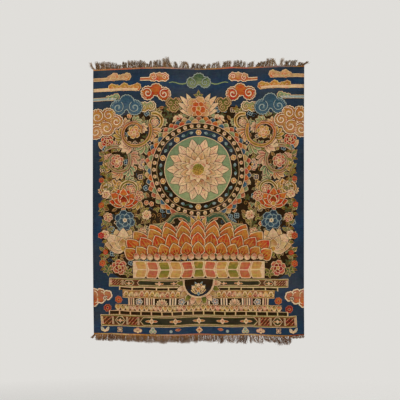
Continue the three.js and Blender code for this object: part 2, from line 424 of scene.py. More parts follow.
def bankCloud(length=120.0, lumps=6, silk="tan", shade="gold", rim="cream", bar="sand", lumpSize=11.0):
    # A long bar of mist that runs out of the side of the cloth, with cloud heads on its inner end.
    heads = []
    for number in range(lumps):
        swell = 0.86 + 0.3 * math.sin(number * 2.3 + 1)
        heads.append((length - lumpSize * (0.9 + 1.45 * number), lumpSize * swell))
    for colour, further in (("ink", 3.2), (rim, 2.0), (silk, 0)):
        into = shade if colour == silk else None
        for x, radius in heads:
            at = complex(x, radius * 0.62)
            span = (at - 1j * radius, at + 1j * radius)
            lay(colour, scalloped(at, radius + further, 7, 1.8, x), into, span)
        lay(colour, stroke([0j, complex(length - 4, 0)], 9 + 2 * further, 8 + 2 * further))
    lay(bar, stroke([0j, complex(length - 8, 0)], 9, 7))
    for x, radius in heads:
        line = [complex(x, radius * 0.62) + point for point in curl(radius * 0.72, 1.4, 0.9, 9, 215)]
        lay(rim, stroke(line, 1.9, 1.2))


def scrollVine(silk="gold", leafSilks=(("gold", "tan"), ("olive", "celadon")), bloom="crimson",
               bloomShade="rose", reach=54.0, turns=1.1, leaves=7, stem="ochre", rim="cream", line="brown"):
    # A vine that coils in to a flower, with fronds along its outer side and smaller ones inside.
    coil = curl(reach, reach * 0.4, turns, 32, 0, 0.9)
    for number in range(leaves):
        spot = round(28 - 26 * number / (leaves - 1))
        along = math.degrees(cmath.phase(coil[spot + 1] - coil[spot - 1])) - 90
        size = reach / 62 * (1.05 - 0.5 * spot / 30)
        leafSilk, leafShade = leafSilks[number % len(leafSilks)]
        if number % 2:
            place(frond, coil[spot], degrees=along - 8, size=size * 0.5, mirror=True, silk=leafShade,
                  shade=leafSilk, lobes=3)
        place(frond, coil[spot], degrees=along - 4, size=size, silk=leafSilk, shade=leafShade)
    rimmed(stem, stroke(coil, 9.5, 4.5), rim, 2.6, silk, (-1j * reach, 1j * reach), 1.8)
    lay(line, stroke(coil[1:28], 2.6, 1.4))
    lay("ink", disc(0j, reach * 0.37, 14))
    place(peony, 0j, silk=bloom, shade=bloomShade, deep="cream", heart="gold", radius=reach * 0.34)


def ribbon(points, silk="jade", shade="celadon", rim="sand", width=15.0, endWidth=9.0):
    rimmed(silk, stroke(points, width, endWidth), rim, 2.0, shade, (points[0], points[-1]), 1.6)
    for aside in (-0.22, 0.22):
        line = []
        for spot, point in enumerate(points[1:-1], 1):
            along = points[spot + 1] - points[spot - 1]
            line.append(point + 1j * aside * width * along / abs(along))
        lay(rim if aside > 0 else "ink", stroke(line, 1.7, 1.0))


def vine(points, silk, rim, width, endWidth):
    lay(rim, stroke(points, width + 2.4, endWidth + 2.0))
    lay(silk, stroke(points, width, endWidth))


# The design of the cloth: places and sizes in millimetres, from the middle of its top edge.
design = {
    "fieldHalf": 372,                # half the width of the dark ground, inside its blue margins
    "fieldBottom": -784,
    "fieldFoot": (-300 - 798j, 300 - 798j, 336 - 776j),      # from which its right side goes up
    "arch": {"spring": -285, "rise": 145, "sides": -740},    # the top of the dark ground
    "blues": (                       # the blue is woven from several batches, each from one height to another
        (-18, -52, "navy", "blue"), (-52, -96, "blue", "navy"), (-196, -250, "navy", "blue"),
        (-250, -330, "blue", "navy"), (-540, -610, "navy", "blue"), (-610, -700, "blue", "navy"),
        (-800, -860, "navy", "blue"), (-860, -940, "blue", "navy"), (-940, -985, "navy", "blue"),
        (-985, -1007, "blue", "blue"),
    ),
    "fillers": {                     # they keep under an arch of their own, and clear of the medallion
        "top": -160, "pitch": 25, "rows": 25, "columns": 17, "stray": 5, "clearRing": 176, "spring": -284,
        "rise": 150,
    },
    "medallion": -385,
    "medallionRings": {
        "edge": 204, "petals": (182, 173), "border": (179, 176.8), "pearls": 166.5, "navy": 155,
        "flowers": 141, "heart": 125,
    },
    "petalBand": {"low": -797, "high": -730, "half": 250, "pitch": 44},
    "upperPanels": {
        "low": -830, "high": -798, "half": 340, "lattices": ((292, 332),),
        "panels": ((-236, -40), (40, 236), (-286, -246), (246, 286)),
    },
    "upperDashes": {"low": -842, "high": -830, "half": 300, "pitch": 46, "dash": 40},
    "upperHeads": {"low": -870, "high": -842, "half": 288, "pitch": 19.6, "ground": "tan"},
    "colonnade": {"low": -898, "high": -871},
    "lowerHeads": {"low": -921, "high": -898, "half": 316, "pitch": 18, "ground": "brown", "hangs": True},
    "lowerDashes": {"low": -936, "high": -921, "half": 338, "pitch": 40, "dash": 34},
    "lowerPanels": {
        "low": -980, "high": -937, "half": 372, "lattices": ((232, 270), (328, 364)),
        "panels": ((-224, 224), (-318, -278), (278, 318)),
    },
    "longPanelFlorets": {"places": (-180, -90, 0, 90, 180), "height": -958.5, "size": 0.95},
    "florets": rows("x y size", (298, -958.5, 0.6), (266, -815.5, 0.55), (150, -815.5, 0.7),
                    (94, -815.5, 0.5)),
    "niche": -800,
    "emblems": -993,
    "topStripe": ("tan", "rose", "salmon", "pink", "lilac", "tan", "rose", "salmon", "lilac", "tan"),
    "bottomStripe": ("tan", "sand", "ochre", "pink", "salmon", "tan", "sand", "tan", "brick"),
    "stripeHeight": 5,
}


def ground():
    half, length = hanging["halfWidth"], hanging["length"]
    lay("navy", box(-half, -length, half, 0))
    for high, low, silk, shade in design["blues"]:
        lay(silk, box(-half, low, half, high), shade, (1j * high, 1j * low))
    # The dark field: wavy sides with an arch over them.
    side, arch, foot = design["fieldHalf"] - 8, design["arch"], design["fieldFoot"]
    right = [complex(side + 9 * math.sin(y / 13), y) for y in range(arch["sides"], arch["spring"], 12)]
    over = []
    for step in range(1, 32):
        turn = math.pi * step / 32
        over.append(complex(side * math.cos(turn), arch["spring"] + arch["rise"] * math.sin(turn) ** 0.7))
    left = [-point.conjugate() for point in reversed(right)]
    lay("ink", [*foot, *right, *over, *left, -foot[-1].conjugate()])


def fillers(draw):
    # Small leaves and tendrils behind the main plants.
    kinds = [
        (spray, {"silk": "moss", "shade": "olive", "rim": "sand"}),
        (spray, {"silk": "jade", "shade": "celadon", "rim": "sand"}),
        (spray, {"silk": "olive", "shade": "brown", "rim": "tan"}),
        (spray, {"silk": "moss", "shade": "jade", "rim": "brown", "leaves": 5}),
        (leaf, {"silk": "jade", "shade": "moss", "length": 22, "width": 10, "vein": "sand"}),
        (leaf, {"silk": "brown", "shade": "tan", "length": 20, "width": 10}),
        (tendril, {"silk": "tan"}),
        (tendril, {"silk": "steel"}),
        (rosette, {"outer": "crimson", "shade": "orange", "radius": 8, "petals": 5}),
        (knotFloret, {"radius": 8}),
        (knotFloret, {"radius": 9, "silk": "navy", "rim": "mist"}),
    ]
    half, chosen = design["fieldHalf"], design["fillers"]
    pitch, columns, stray = chosen["pitch"], chosen["columns"], chosen["stray"]
    for row in range(chosen["rows"]):
        y = chosen["top"] - pitch * row
        for column in range(-columns, columns + 1):
            x = pitch * (column + 0.5 * (row % 2)) + draw.uniform(-stray, stray)
            at = complex(x, y + draw.uniform(-stray, stray))
            motif, choices = kinds[draw.randrange(len(kinds))]
            turn = draw.uniform(-180, 180)
            roof = chosen["spring"] + chosen["rise"] * max(0, 1 - (x / half) ** 2) ** 0.35
            onField = abs(x) < half - 6 and at.imag > design["fieldBottom"]
            outside = abs(at - complex(0, design["medallion"])) > chosen["clearRing"]
            if at.imag < roof and onField and outside:
                place(motif, at, degrees=turn, **choices)


def sky():
    # Banks of mist at the sides, then the clouds, from the middle of the cloth outwards.
    for y, length, lumps, shade, bar in ((-40, 138, 5, "sand", "sand"), (-80, 178, 7, "gold", "cream")):
        look = {"lumps": lumps, "silk": "orange", "shade": shade, "bar": bar}
        place(bankCloud, complex(-400, y), length=length, **look)
        place(bankCloud, complex(400, y + 3), length=length - 8, mirror=True, **look)
    bothSides(bankCloud, -400 - 116j, length=96, lumps=3, silk="jade", shade="celadon", bar="mist",
              lumpSize=10)
    place(cloud, -50j, silk="celadon", shade="jade", deep="moss", rim="mist", vein="mist",
          lobes=((0, 10, 19, 0, 90), (-25, -4, 17, -1, 100), (25, -4, 17, 1, 80)))
    for side in (-1, 1):
        wave = [complex(side * (48 + 13 * part), -58 - 4 * math.sin(part * 1.2)) for part in range(6)]
        vine(wave, "celadon", "jade", 4.0, 2.5)
    bothSides(cloud, -150 - 38j, silk="orange", shade="sand", deep="vermilion", tail=-72, drop=-5,
              lobes=((0, 2, 13, 0, 20), (-22, 1, 12, -1, 60), (20, 2, 12, 1, 0)))
    bothSides(cloud, -158 - 96j, silk="vermilion", shade="orange",
              lobes=((-2, 12, 20, 0, 20), (-34, 0, 22, -1, 150), (28, -4, 22, 1, 60)))
    bothSides(cloud, -92 - 140j, silk="olive", shade="moss", deep="brown", rim="sand", vein="sand",
              lobes=((-14, 8, 14, 1, 100), (10, 10, 13, -1, 80), (-2, -10, 13, -1, 90)))
    bothSides(cloud, -190 - 150j, silk="gold", shade="celadon", deep="moss", vein="cream",
              lobes=((-16, 2, 15, 1, 100), (10, 5, 14, -1, 80)))
    bothSides(cloud, -274 - 148j, silk="steel", shade="teal", deep="navy", rim="mist", vein="mist",
              tail=-60, drop=-6, lobes=((2, 18, 24, 0, 90), (-30, -2, 25, -1, 60), (32, -2, 25, 1, 120)))
    bothSides(cloud, -356 - 208j, silk="apricot", shade="ochre", deep="brick",
              lobes=((43, 6, 22, -1, 120), (14, 31, 23, 1, 60), (-28, 26, 26, -1, 70), (-33, -30, 25, 1, 40),
                     (8, -18, 27, -1, 130)))


def crown():
    # The great peony at the top of the field, in its leaves.
    fan(petal, -170j, ((104, 82), (124, 82)), silk="jade", shade="celadon", width=25, rim="sand", vein="sand")
    fan(petal, -178j, ((76, 72), (60, 88), (44, 96), (29, 90)), silk="orange", shade="cream", width=21,
        vein="tan")
    place(spray, -104j, silk="jade", shade="olive", leaves=5, length=22)
    place(peony, -152j, radius=44, silk="orange", shade="sand", deep="vermilion")
    bothSides(peony, -74 - 200j, radius=22, silk="rose", shade="cream", deep="crimson")


def medallion():
    # From the edge to the heart, ring in ring.
    rings = design["medallionRings"]
    lay("ink", disc(0j, rings["edge"], 80))
    tones = (("crimson", "rose"), ("moss", "celadon"), ("ochre", "sand"), ("navy", "steel"),
             ("vermilion", "orange"))
    outer, inner = rings["petals"]
    look = {"width": 22, "rimWidth": 1.6, "fullness": 0.9}
    ringOf(petal, 45, outer, 0, tones, length=21, **look)
    ringOf(petal, 45, inner, 0.5, tones[2:] + tones[:2], length=20, **look)
    for silk, radius in zip(("cream", "ink"), rings["border"]):
        lay(silk, disc(0j, radius, 84))
    for step in range(40):
        pearl = onRing(rings["pearls"], 9 * step)
        lay("cream", scalloped(pearl, 6.6, 5, 1.2), "sand", (pearl * 0.96, pearl * 1.04))
        lay("rose" if step % 2 else "lilac", disc(pearl, 2.9, 7))
    lay("sand", disc(0j, rings["navy"] + 2, 80))
    lay("ink", disc(0j, rings["navy"], 80), "navy", (0j, 1j * rings["navy"]))
    flowers = rings["flowers"]
    for step in range(20):
        turn = 18 * step
        if step % 2:
            place(rosette, onRing(flowers, turn), degrees=turn, outer="orange", shade="gold", heart="cream",
                  radius=10, petals=6)
            continue
        wave = [onRing(flowers + 6 * math.sin(math.radians(20 * part)), turn - 9 + part)
                for part in range(0, 19, 2)]
        lay("jade", stroke(wave, 3.0, 3.0))
        for side, flip in ((-1, 180), (1, 0)):
            place(leaf, onRing(flowers, turn + 4 * side), degrees=turn + flip, silk="steel", shade="mist",
                  length=13, width=8, rim="mist")
    lay("cream", disc(0j, rings["heart"] + 2.4, 72))
    lay("celadon", disc(0j, rings["heart"], 72), "sage", (-165j, 165j))
    ringOf(bigPetal, 14, 34, 0.5, silk="rose", shade="cream", length=82, width=36, vein="rose")
    ringOf(bigPetal, 14, 24, silk="tan", shade="cream", length=70, width=30, vein="ochre")
    ringOf(petal, 12, 12, 0.5, silk="vermilion", shade="sand", length=56, width=26, rimWidth=2.0,
           vein="brick")
    ringOf(petal, 10, 6, silk="orange", shade="cream", length=42, width=22, rimWidth=1.8)
    lay("cream", scalloped(0j, 23, 14, 2.6))
    lay("gold", scalloped(0j, 20.6, 14, 2.4), "olive", (-20j, 20j))
    for count, radius, start, size in ((8, 13, 0, 2.2), (4, 5.4, 20, 2.0)):      # the seeds
        for step in range(count):
            lay("brown", disc(onRing(radius, 360 / count * step + start), size, 7))


def scrolls():
    # Each vine with its place, turn, reach, number of fronds and their silks.
    for at, turn, reach, leaves, leafSilks, look in (
        (166 - 206j, 70, 34, 5, (("moss", "olive"), ("olive", "celadon")), {"silk": "gold", "stem": "olive"}),
        (344 - 452j, 130, 34, 5, (("orange", "sand"), ("tan", "gold")),
         {"bloom": "steel", "bloomShade": "mist"}),
        (258 - 462j, 210, 50, 6, (("jade", "celadon"), ("olive", "gold")), {"stem": "olive"}),
        (306 - 354j, 20, 66, 7,
         (("rose", "pink"), ("olive", "gold"), ("orange", "sand"), ("jade", "celadon")),
         {"stem": "olive", "silk": "celadon", "rim": "pink", "line": "crimson"}),
        (244 - 244j, 150, 66, 7,
         (("salmon", "cream"), ("olive", "celadon"), ("orange", "sand"), ("moss", "gold")),
         {"stem": "orange", "silk": "gold", "rim": "pink", "line": "moss", "bloom": "orange",
          "bloomShade": "gold"}),
    ):
        bothSides(scrollVine, at, degrees=turn, reach=reach, leaves=leaves, leafSilks=leafSilks, **look)
    for at, radius, silk, shade, deep in ((346 - 276j, 22, "crimson", "vermilion", "brick"),
                                          (206 - 366j, 19, "lilac", "pink", "lilac")):
        bothSides(peony, at, radius=radius, silk=silk, shade=shade, deep=deep)
    for at, radius, silk, rim in ((184 - 284j, 10, "midnight", "cream"), (354 - 306j, 9, "navy", "mist"),
                                  (220 - 414j, 9, "navy", "cream"), (196 - 172j, 9, "navy", "mist")):
        bothSides(knotFloret, at, degrees=at.real, radius=radius, silk=silk, rim=rim)


def gardens():
    # The plants at the two sides of the lower field: stems, their leaves and then the flowers.
    for side in (-1, 1):
        for x, sway, quick, top, pitch, count in ((350, 8, 0.9, -300, 26, 19), (212, 12, 0.8, -470, 22, 11)):
            stem = [complex(side * (x + sway * math.sin(quick * step)), top - pitch * step)
                    for step in range(count)]
            vine(stem, "moss", "sand", 3.2, 2.2)
    outer = {"silk": "jade", "shade": "olive", "length": 25, "width": 12, "vein": "sand"}
    lower = {"silk": "olive", "shade": "brown", "length": 19, "width": 9, "rim": "tan"}
    inner = {"silk": "moss", "shade": "olive", "length": 24, "width": 11, "vein": "sand"}
    for step in range(18):
        odd = step % 2
        sway = 8 * math.sin(step * 0.9)
        bothSides(leaf, complex(350 + sway, -306 - 26 * step), degrees=-50 if odd else 62, **outer)
        bothSides(leaf, complex(352 + sway, -318 - 26 * step), degrees=-112 if odd else 110, **lower)
        if step < 10:
            x = 212 + 12 * math.sin(step * 0.8 + 1)
            bothSides(leaf, complex(x, -476 - 22 * step), degrees=60 if odd else -58, **inner)
    bothSides(lotus, 284 - 516j, width=104, height=60, silk="vermilion", shade="orange", inner="brick",
              vein="gold")
    bothSides(peony, 278 - 578j, radius=36, silk="steel", shade="navy", deep="midnight", rim="mist",
              heart="cream")
    bothSides(lotus, 284 - 684j, width=138, height=76, silk="sand", shade="cream", inner="tan", vein="orange")
    for at, radius, silk, shade in (
        (226 - 484j, 17, "crimson", "rose"), (342 - 566j, 15, "crimson", "rose"),
        (196 - 556j, 15, "rose", "cream"), (352 - 632j, 14, "rose", "cream"),
        (212 - 622j, 15, "crimson", "rose"), (350 - 478j, 14, "rose", "cream"),
    ):
        bothSides(peony, at, radius=radius, silk=silk, shade=shade, deep="brick")


def bigPetal(silk="rose", shade="cream", length=80.0, width=34.0, vein="rose"):
    # A petal of the medallion's lotus, with a dark tip and three veins.
    span = (0.12j * length, 0.72j * length)
    rimmed(silk, petalShape(length, width, 6, 0.8), "cream", 2.2, shade, span, 1.6)
    lay("brown", stroke([0.97j * length, 0.76j * length], 0.6, 2.6))
    for side in (-1, 0, 1):
        high = 0.78 if side else 0.86
        line = [complex(side * x * width, y * length) for x, y in ((0.08, 0.2), (0.2, 0.5), (0.12, high))]
        lay(vein, stroke(line, 2.0, 0.8))


def seatPetal(silk="vermilion", shade="orange", length=70.0, width=50.0, vein="gold"):
    span = (0.1j * length, 0.95j * length)
    rimmed(silk, petalShape(length, width, 6, 0.72), "cream", 2.8, shade, span, 2.0)
    heart = [0.05j * length + 0.52 * point for point in petalShape(length, width, 4, 0.72)]
    lay("brick", heart, silk, (0.05j * length, 0.6j * length))
    lay(vein, stroke([0.1j * length, 0.84j * length], 3.2, 1.4))
    for side in (-1, 1):
        line = [complex(side * x * width, y * length) for x, y in ((0.08, 0.16), (0.25, 0.4), (0.2, 0.7))]
        lay(vein, stroke(line, 2.6, 1.2))


def lotusSeat():
    # The wide lotus under the medallion, from its back petals to its front ones.
    for row in rows("base half pitch length width silk shade",
                    (-648, 150, 50, 62, 50, "vermilion", "orange"),
                    (-672, 200, 50, 66, 54, "vermilion", "ochre"),
                    (-696, 225, 45, 62, 50, "orange", "vermilion"),
                    (-720, 240, 40, 50, 44, "vermilion", "ochre")):
        look = {name: row[name] for name in ("silk", "shade", "length", "width")}
        for step in range(round(row["half"] / row["pitch"] * 2) // 2 + 1):
            x = row["half"] - row["pitch"] * step
            at = complex(x, row["base"] + 10 * math.cos(math.pi * x / 2 / row["half"]))
            if x > 1:
                bothSides(seatPetal, at, degrees=-x * 0.2, **look)
            elif x > -1:
                place(seatPetal, at, **look)
    for step in range(-9, 10):
        x = 26 * step
        place(petal, complex(x, -726), degrees=-x * 0.06, silk="cream", shade="rose", length=24, width=20,
              rim="sand", rimWidth=1.8)


def ribbons():
    # Ribbons that fly out from under the medallion, and a flame between them.
    for start, turns, width in ((30 - 580j, ((96, -560, 0.35), (168, -598, -0.35), (196, -656, 0.2)), 19),
                                (36 - 604j, ((90, -622, -0.3), (138, -600, 0.3), (176, -640, -0.2)), 15)):
        line, at = [start], start
        for x, y, bulge in turns:
            line += bend(at, complex(x, y), bulge)[1:]
            at = complex(x, y)
        bothSides(ribbon, 0, points=line, width=width, endWidth=width * 0.6)
    fan(petal, -634j, ((66, 58), (44, 66), (22, 74), (0, 80)), silk="vermilion", shade="gold", width=24,
        vein="cream", fullness=0.65)


def petalBand(low, high, half, pitch):
    # Petals in an upper and a lower half, which point to the middle of the cloth. Their corners are
    # given from the inner side to the outer one, in shares of the pitch and of the half height.
    middle, deep = (low + high) / 2, (high - low) / 2
    lay("cream", box(-half, low, half, high))
    lay("ink", box(-half, low - 1, half, low + 1.6))
    lay("brown", box(-half, high - 1.6, half, high))
    tones = (("olive", "gold"), ("rose", "orange"), ("honey", "gold"))
    leaning = ((-0.47, 0.06), (-0.45, 0.3), (-0.39, 0.6), (-0.34, 0.77), (-0.26, 0.86), (0.33, 0.86),
               (0.42, 0.81), (0.45, 0.7), (0.37, 0.36), (0.25, 0.06))
    upright = ((-0.31, 0.06), (-0.36, 0.36), (-0.42, 0.68), (-0.39, 0.8), (-0.31, 0.86), (0.31, 0.86),
               (0.39, 0.8), (0.42, 0.68), (0.36, 0.36), (0.31, 0.06))
    count = int(half / pitch)
    for step in range(-count, count + 1):
        silk, shade = tones[abs(step) % len(tones)]
        side = -1 if step < 0 else 1
        for up in (1, -1):
            corners = [complex(pitch * (step + side * x), middle + up * deep * y)
                       for x, y in (leaning if step else upright)]
            span = (complex(0, middle + 0.2 * up * deep), complex(0, middle + 1.3 * up * deep))
            lay(silk, corners, shade, span)
    for step in range(count):
        for side in (-1, 1):       # the seams between petals, with a dark tooth at the foot of each
            seam = [complex(side * pitch * (step + x), middle + deep * y)
                    for x, y in ((0.56, 0.92), (0.4, 0), (0.56, -0.92))]
            lay("tan", stroke(seam, 1.3))
            foot = seam[2].real
            lay("ink", [complex(foot - 6, low + 1), complex(foot + 6, low + 1), complex(foot, low + 8)])


def dashRow(low, high, half, pitch, dash):
    lay("tan", box(-half, low, half, high), "olive", (complex(-half, 0), complex(half, 0)))
    lay("cream", box(-half, high - 1.4, half, high))
    count = int((half - dash / 2) / pitch)
    for step in range(-count, count + 1):
        x = pitch * step
        lay("ink", box(x - dash / 2, low + 1.4, x + dash / 2, high - 2.2))
        lay("cream", box(x + pitch / 2 - 1.5, low, x + pitch / 2 + 1.5, high - 1.4))
    for side in (-1, 1):
        lay("cream", box(side * half - 1.6, low - 2, side * half + 1.6, high + 1))


def lattice(left, low, right, high):
    # Crossed bars in two rows, as at the ends of the long panels.
    lay("brick", box(left, low, right, high), "brown", (complex(left, low), complex(right, high)))
    count = max(2, round((right - left) / (high - low) * 2))
    wide, deep = (right - left) / count, (high - low) / 2
    for row in range(2):
        for column in range(count):
            x, y = left + wide * column, low + deep * row
            for first, last, silk in ((x, x + wide, "salmon"), (x + wide, x, "ink")):
                lay(silk, stroke([complex(first, y), complex(last, y + deep)], 2.2))
            lay("sand", disc(complex(x + wide / 2, y + deep / 2), 2.0, 5))


def pointedPanel(left, low, right, high):
    # A long dark panel with a point at each end, in lines of three silks.
    deep = (high - low) / 2
    point = deep * 0.8
    span = (complex(left, 0), complex(left + 3 * (right - left), 0))
    for silk, inset in (("cream", 0.0), ("brown", 1.8), ("moss", 3.4), ("bark", 5.0)):
        inLeft, inRight = left + inset, right - inset
        outline = [complex(inLeft + point, low + inset), complex(inRight - point, low + inset),
                   complex(inRight, low + deep), complex(inRight - point, high - inset),
                   complex(inLeft + point, high - inset), complex(inLeft, low + deep)]
        lay(silk, outline, "ink" if silk == "bark" else None, span)


def panelBand(low, high, half, panels, lattices):
    # A long framed band: lines of several silks round lattices and pointed panels.
    inset = 0
    for silk, width in (("cream", 1.8), ("olive", 2.6), ("brown", 1.2), ("salmon", 1.2), ("brown", 0)):
        lay(silk, box(-half + inset, low + inset, half - inset, high - inset))
        inset += width
    for left, right in lattices:
        for start, end in ((left, right), (-right, -left)):
            lattice(start, low + inset, end, high - inset)
            for x in (start - 4, start, end, end + 4):
                lay("cream", box(x - 1.1, low + inset, x + 1.1, high - inset))
    for left, right in panels:
        pointedPanel(left, low + inset - 1, right, high - inset + 1)


def floret(silk="gold", reach=24.0):
    # A small cross of petals round a blossom, as on the long panels.
    for first, length, width in ((90, reach, 6.5), (0, reach * 0.5, 7)):
        for degrees in (first, first - 180):
            place(petal, degrees=degrees, silk=silk, shade="orange", length=length, width=width, rimWidth=1.4)
    place(rosette, outer="orange", shade="sand", heart="crimson", rim="pale", radius=7)


def cloudHead(silk="gold", shade="sand", mark="orange", width=19.0, height=22.0):
    # One lobed head of a row, with a mark in its heart.
    for colour, further in (("brown", 2.8), ("cream", 1.6), (silk, -0.4)):
        into = shade if colour == silk else None
        for x, y, radius in ((-0.27, 0.34, 0.25), (0.27, 0.34, 0.25), (0, 0.58, 0.31)):
            lobe = disc(complex(x * width, y * height), radius * width + further, 8)
            lay(colour, lobe, into, (0j, 1j * height))
    corners = ((-0.24, 0.16), (0.24, 0.16), (0.17, 0.52), (0, 0.7), (-0.17, 0.52))
    lay(mark, [complex(x * width, y * height) for x, y in corners], silk, (0j, 0.7j * height))
    lay("cream", disc(0.34j * height, 0.1 * width, 6))


def headRow(low, high, half, pitch, ground, hangs=False):
    # A row of lobed heads along a band. Each has its own silk and mark.
    tones = (("gold", "cream", "orange"), ("cream", "gold", "olive"), ("salmon", "cream", "crimson"),
             ("gold", "cream", "moss"), ("cream", "salmon", "vermilion"))
    lay(ground, box(-half, low, half, high))
    count = int((half - pitch / 2) / pitch)
    for step in range(-count, count + 1):
        silk, shade, mark = tones[(2 * abs(step) + hangs) % len(tones)]
        place(cloudHead, complex(pitch * step, high if hangs else low), degrees=180 if hangs else 0,
              silk=silk, shade=shade, mark=mark, width=pitch * 1.08, height=(high - low) * 1.12)
    for edge in (low, high):
        lay("sand", box(-half, edge - 1.2, half, edge + 1.2))


def uprights(silks, width, height):
    # Narrow bars side by side, like the pillars of a rail.
    count = round(width / 9)
    for number in range(count):
        x = width * ((number + 0.5) / count - 0.5)
        lay(silks[number % len(silks)], box(x - 2.7, 0, x + 2.7, height))


def shell(silk="tan", shade="cream", width=50.0):
    # A low fan of petals.
    length = width * 0.44
    fan(petal, 3j, ((78, length), (52, length), (26, length), (0, length)), silk=silk, shade=shade,
        width=width * 0.2, rimWidth=1.6, fullness=1.1)


def greyBloom():
    place(rosette, 13j, outer="mist", shade="lilac", heart="crimson", rim="pale", radius=12.5, petals=5)


def colonnade(low, high):
    # From the middle outwards: what stands there, and how wide it is.
    units = (
        (shell, 40, {"silk": "olive", "shade": "sand"}), (uprights, 24, {"silks": ("pale", "pink")}),
        (greyBloom, 38, {}), (uprights, 30, {"silks": ("pale", "cream")}), (shell, 52, {"silk": "salmon"}),
        (uprights, 44, {"silks": ("pale", "pink", "cream")}), (greyBloom, 34, {}),
        (uprights, 26, {"silks": ("cream", "pink")}),
    )
    x = -units[0][1] / 2
    for motif, width, choices in units:
        middle = complex(x + width / 2, low)
        for left in (x, -x - width):
            lay("ink", box(left, low, left + width, high))
        if motif is uprights:
            choices = dict(choices, width=width, height=high - low)
        if middle.real:
            bothSides(motif, middle, **choices)
        else:
            place(motif, middle, **choices)
        x += width


def nicheShape(half, deep):
    # Upright sides, and a half-round under them.
    low = half - deep
    turns = [math.pi * (1 + step / 12) for step in range(13)]
    arc = [complex(half * math.cos(turn), low + half * math.sin(turn)) for turn in turns]
    return [complex(-half, 0)] + arc + [complex(half, 0)]


def niche():
    # The niche in the middle of the bands, with a lotus in it and petals round it.
    for step in range(11):
        degrees = 180 + 18 * step
        silk, shade = (("moss", "olive"), ("salmon", "cream"), ("tan", "sand"))[step % 3]
        place(petal, complex(0, -14) + onRing(52, degrees), degrees=degrees - 90, silk=silk, shade=shade,
              length=33, width=19, rimWidth=1.8)
    for silk, half in (("cream", 60), ("brown", 57.4), ("cream", 56.4), ("ink", 54)):
        lay(silk, nicheShape(half, half + 13), "midnight" if silk == "ink" else None, (-20j, -70j))
    look = {"silk": "steel", "shade": "mist", "rim": "mist"}
    fan(leaf, -38j, ((100, 30), (62, 30), (28, 30)), width=11, **look)
    place(lotus, -48j, width=54, height=30, silk="gold", inner="orange")
    place(leaf, -50j, degrees=180, length=13, width=9, **look)


def cornerCloud():
    # Half a cloud that runs out of the side of the cloth.
    humps = ((-2, 15, 14), (-28, 15, 13), (-54, 8, 13), (-2, -4, 16), (-28, -3, 15), (-2, -19, 12))
    for silk, further in (("ink", 6.2), ("pale", 5.0), ("brick", 0.4), ("orange", -1.2)):
        into = "salmon" if silk == "orange" else None
        for x, y, radius in humps:
            lay(silk, scalloped(complex(x, y), radius + further, 6, 2.0, 7 * x), into, (-40j, 30j))
    for x, y, radius, start in ((-2, 9, 15, 100), (-32, 9, 12, 80), (-4, -10, 14, 150)):
        line = [complex(x, y) + point for point in curl(radius, radius * 0.9, 0.3, 7, start)]
        lay("pale", stroke(line, 3.2, 1.8))
    place(cloudCurl, -46 - 4j, vein="pale", deep="ink", radius=10, spin=-1, start=150)


def corners():
    # Half clouds at the edges of the blue ground beside the bands, and flowers near them.
    bothSides(cornerCloud, 400 - 871j)
    for at, outer, shade, heart, rim, radius, petals in (
        (303 - 880j, "orange", "vermilion", "brick", "salmon", 14, 7),
        (345 - 911j, "crimson", "brick", "midnight", "rose", 15, 8),
        (366 - 636j, "crimson", "vermilion", "brick", "rose", 12, 6),
        (364 - 742j, "orange", "vermilion", "brick", "rose", 12, 6),
        (368 - 520j, "rose", "vermilion", "brick", "rose", 10, 6),
        (366 - 424j, "crimson", "vermilion", "brick", "rose", 9, 6),
        (352 - 700j, "rose", "vermilion", "brick", "rose", 9, 6),
    ):
        bothSides(rosette, at, outer=outer, shade=shade, heart=heart, rim=rim, radius=radius, petals=petals)
    bothSides(peony, 300 - 756j, radius=27, silk="crimson", shade="rose", deep="brick")
    bothSides(spray, 344 - 770j, degrees=-30, silk="jade", leaves=5, length=26)
    bothSides(spray, 268 - 776j, degrees=40, leaves=5, length=24)


def knotEmblem():
    ringOf(petal, 4, 0, 0.5, silk="pink", shade="lilac", length=11, width=7.5, rimWidth=1.4)
    lay("cream", disc(0j, 3, 7))


def fishEmblem():
    for side in (-1, 1):
        place(petal, complex(side * 5, -6), degrees=-side * 30, silk="cream", shade="mist", length=18,
              width=9, rimWidth=1.4)
    lay("cream", disc(-5j, 5.5, 8))


def vaseEmblem():
    for at, radius in ((-6 - 4j, 6), (6 - 4j, 6), (4j, 6.4)):
        rimmed("celadon", disc(at, radius, 9), "cream", 1.8, "mist", (at - 6j, at + 6j))


def scarfEmblem():
    place(leaf, -7 + 2j, degrees=84, silk="rose", shade="crimson", rim="pink", length=22, width=9)
    rimmed("mist", disc(9 - 3j, 5.5, 9), "lilac", 1.4)


def fruitEmblem():
    for x, y, radius in ((-9, -1, 6.5), (9, -1, 6.5), (0, 3, 7.0), (0, -6, 5.0)):
        rimmed("cream", disc(complex(x, y), radius, 9), "salmon", 1.2, "pink", (-8j, 10j))
    lay("brick", disc(-3j, 2.2, 7))


def starEmblem():
    for turn in range(0, 360, 45):
        rimmed("cream", disc(onRing(9 if turn % 90 else 12, turn), 3.6, 8), "tan", 1.0)
    rimmed("sand", disc(0j, 7, 10), "cream", 2.0, "orange", (-7j, 7j))


def emblems():
    # A row of small signs on the blue, under the bands.
    y = design["emblems"]
    place(starEmblem, complex(0, y - 0.5), size=0.78)
    for motif, x in ((scarfEmblem, 98), (vaseEmblem, 176), (fruitEmblem, 234), (knotEmblem, 302),
                     (fishEmblem, 358)):
        bothSides(motif, complex(x, y))


def endStripe(low, tones):
    # The narrow stripe along an end of the cloth, in one batch of silk after another.
    half = hanging["halfWidth"]
    pitch = 2 * half / (len(tones) - 1)
    for number, (silk, shade) in enumerate(zip(tones, tones[1:])):
        left = pitch * number - half
        stretch = box(left, low, left + pitch, low + design["stripeHeight"])
        lay(silk, stretch, shade, (complex(left, 0), complex(left + pitch, 0)))


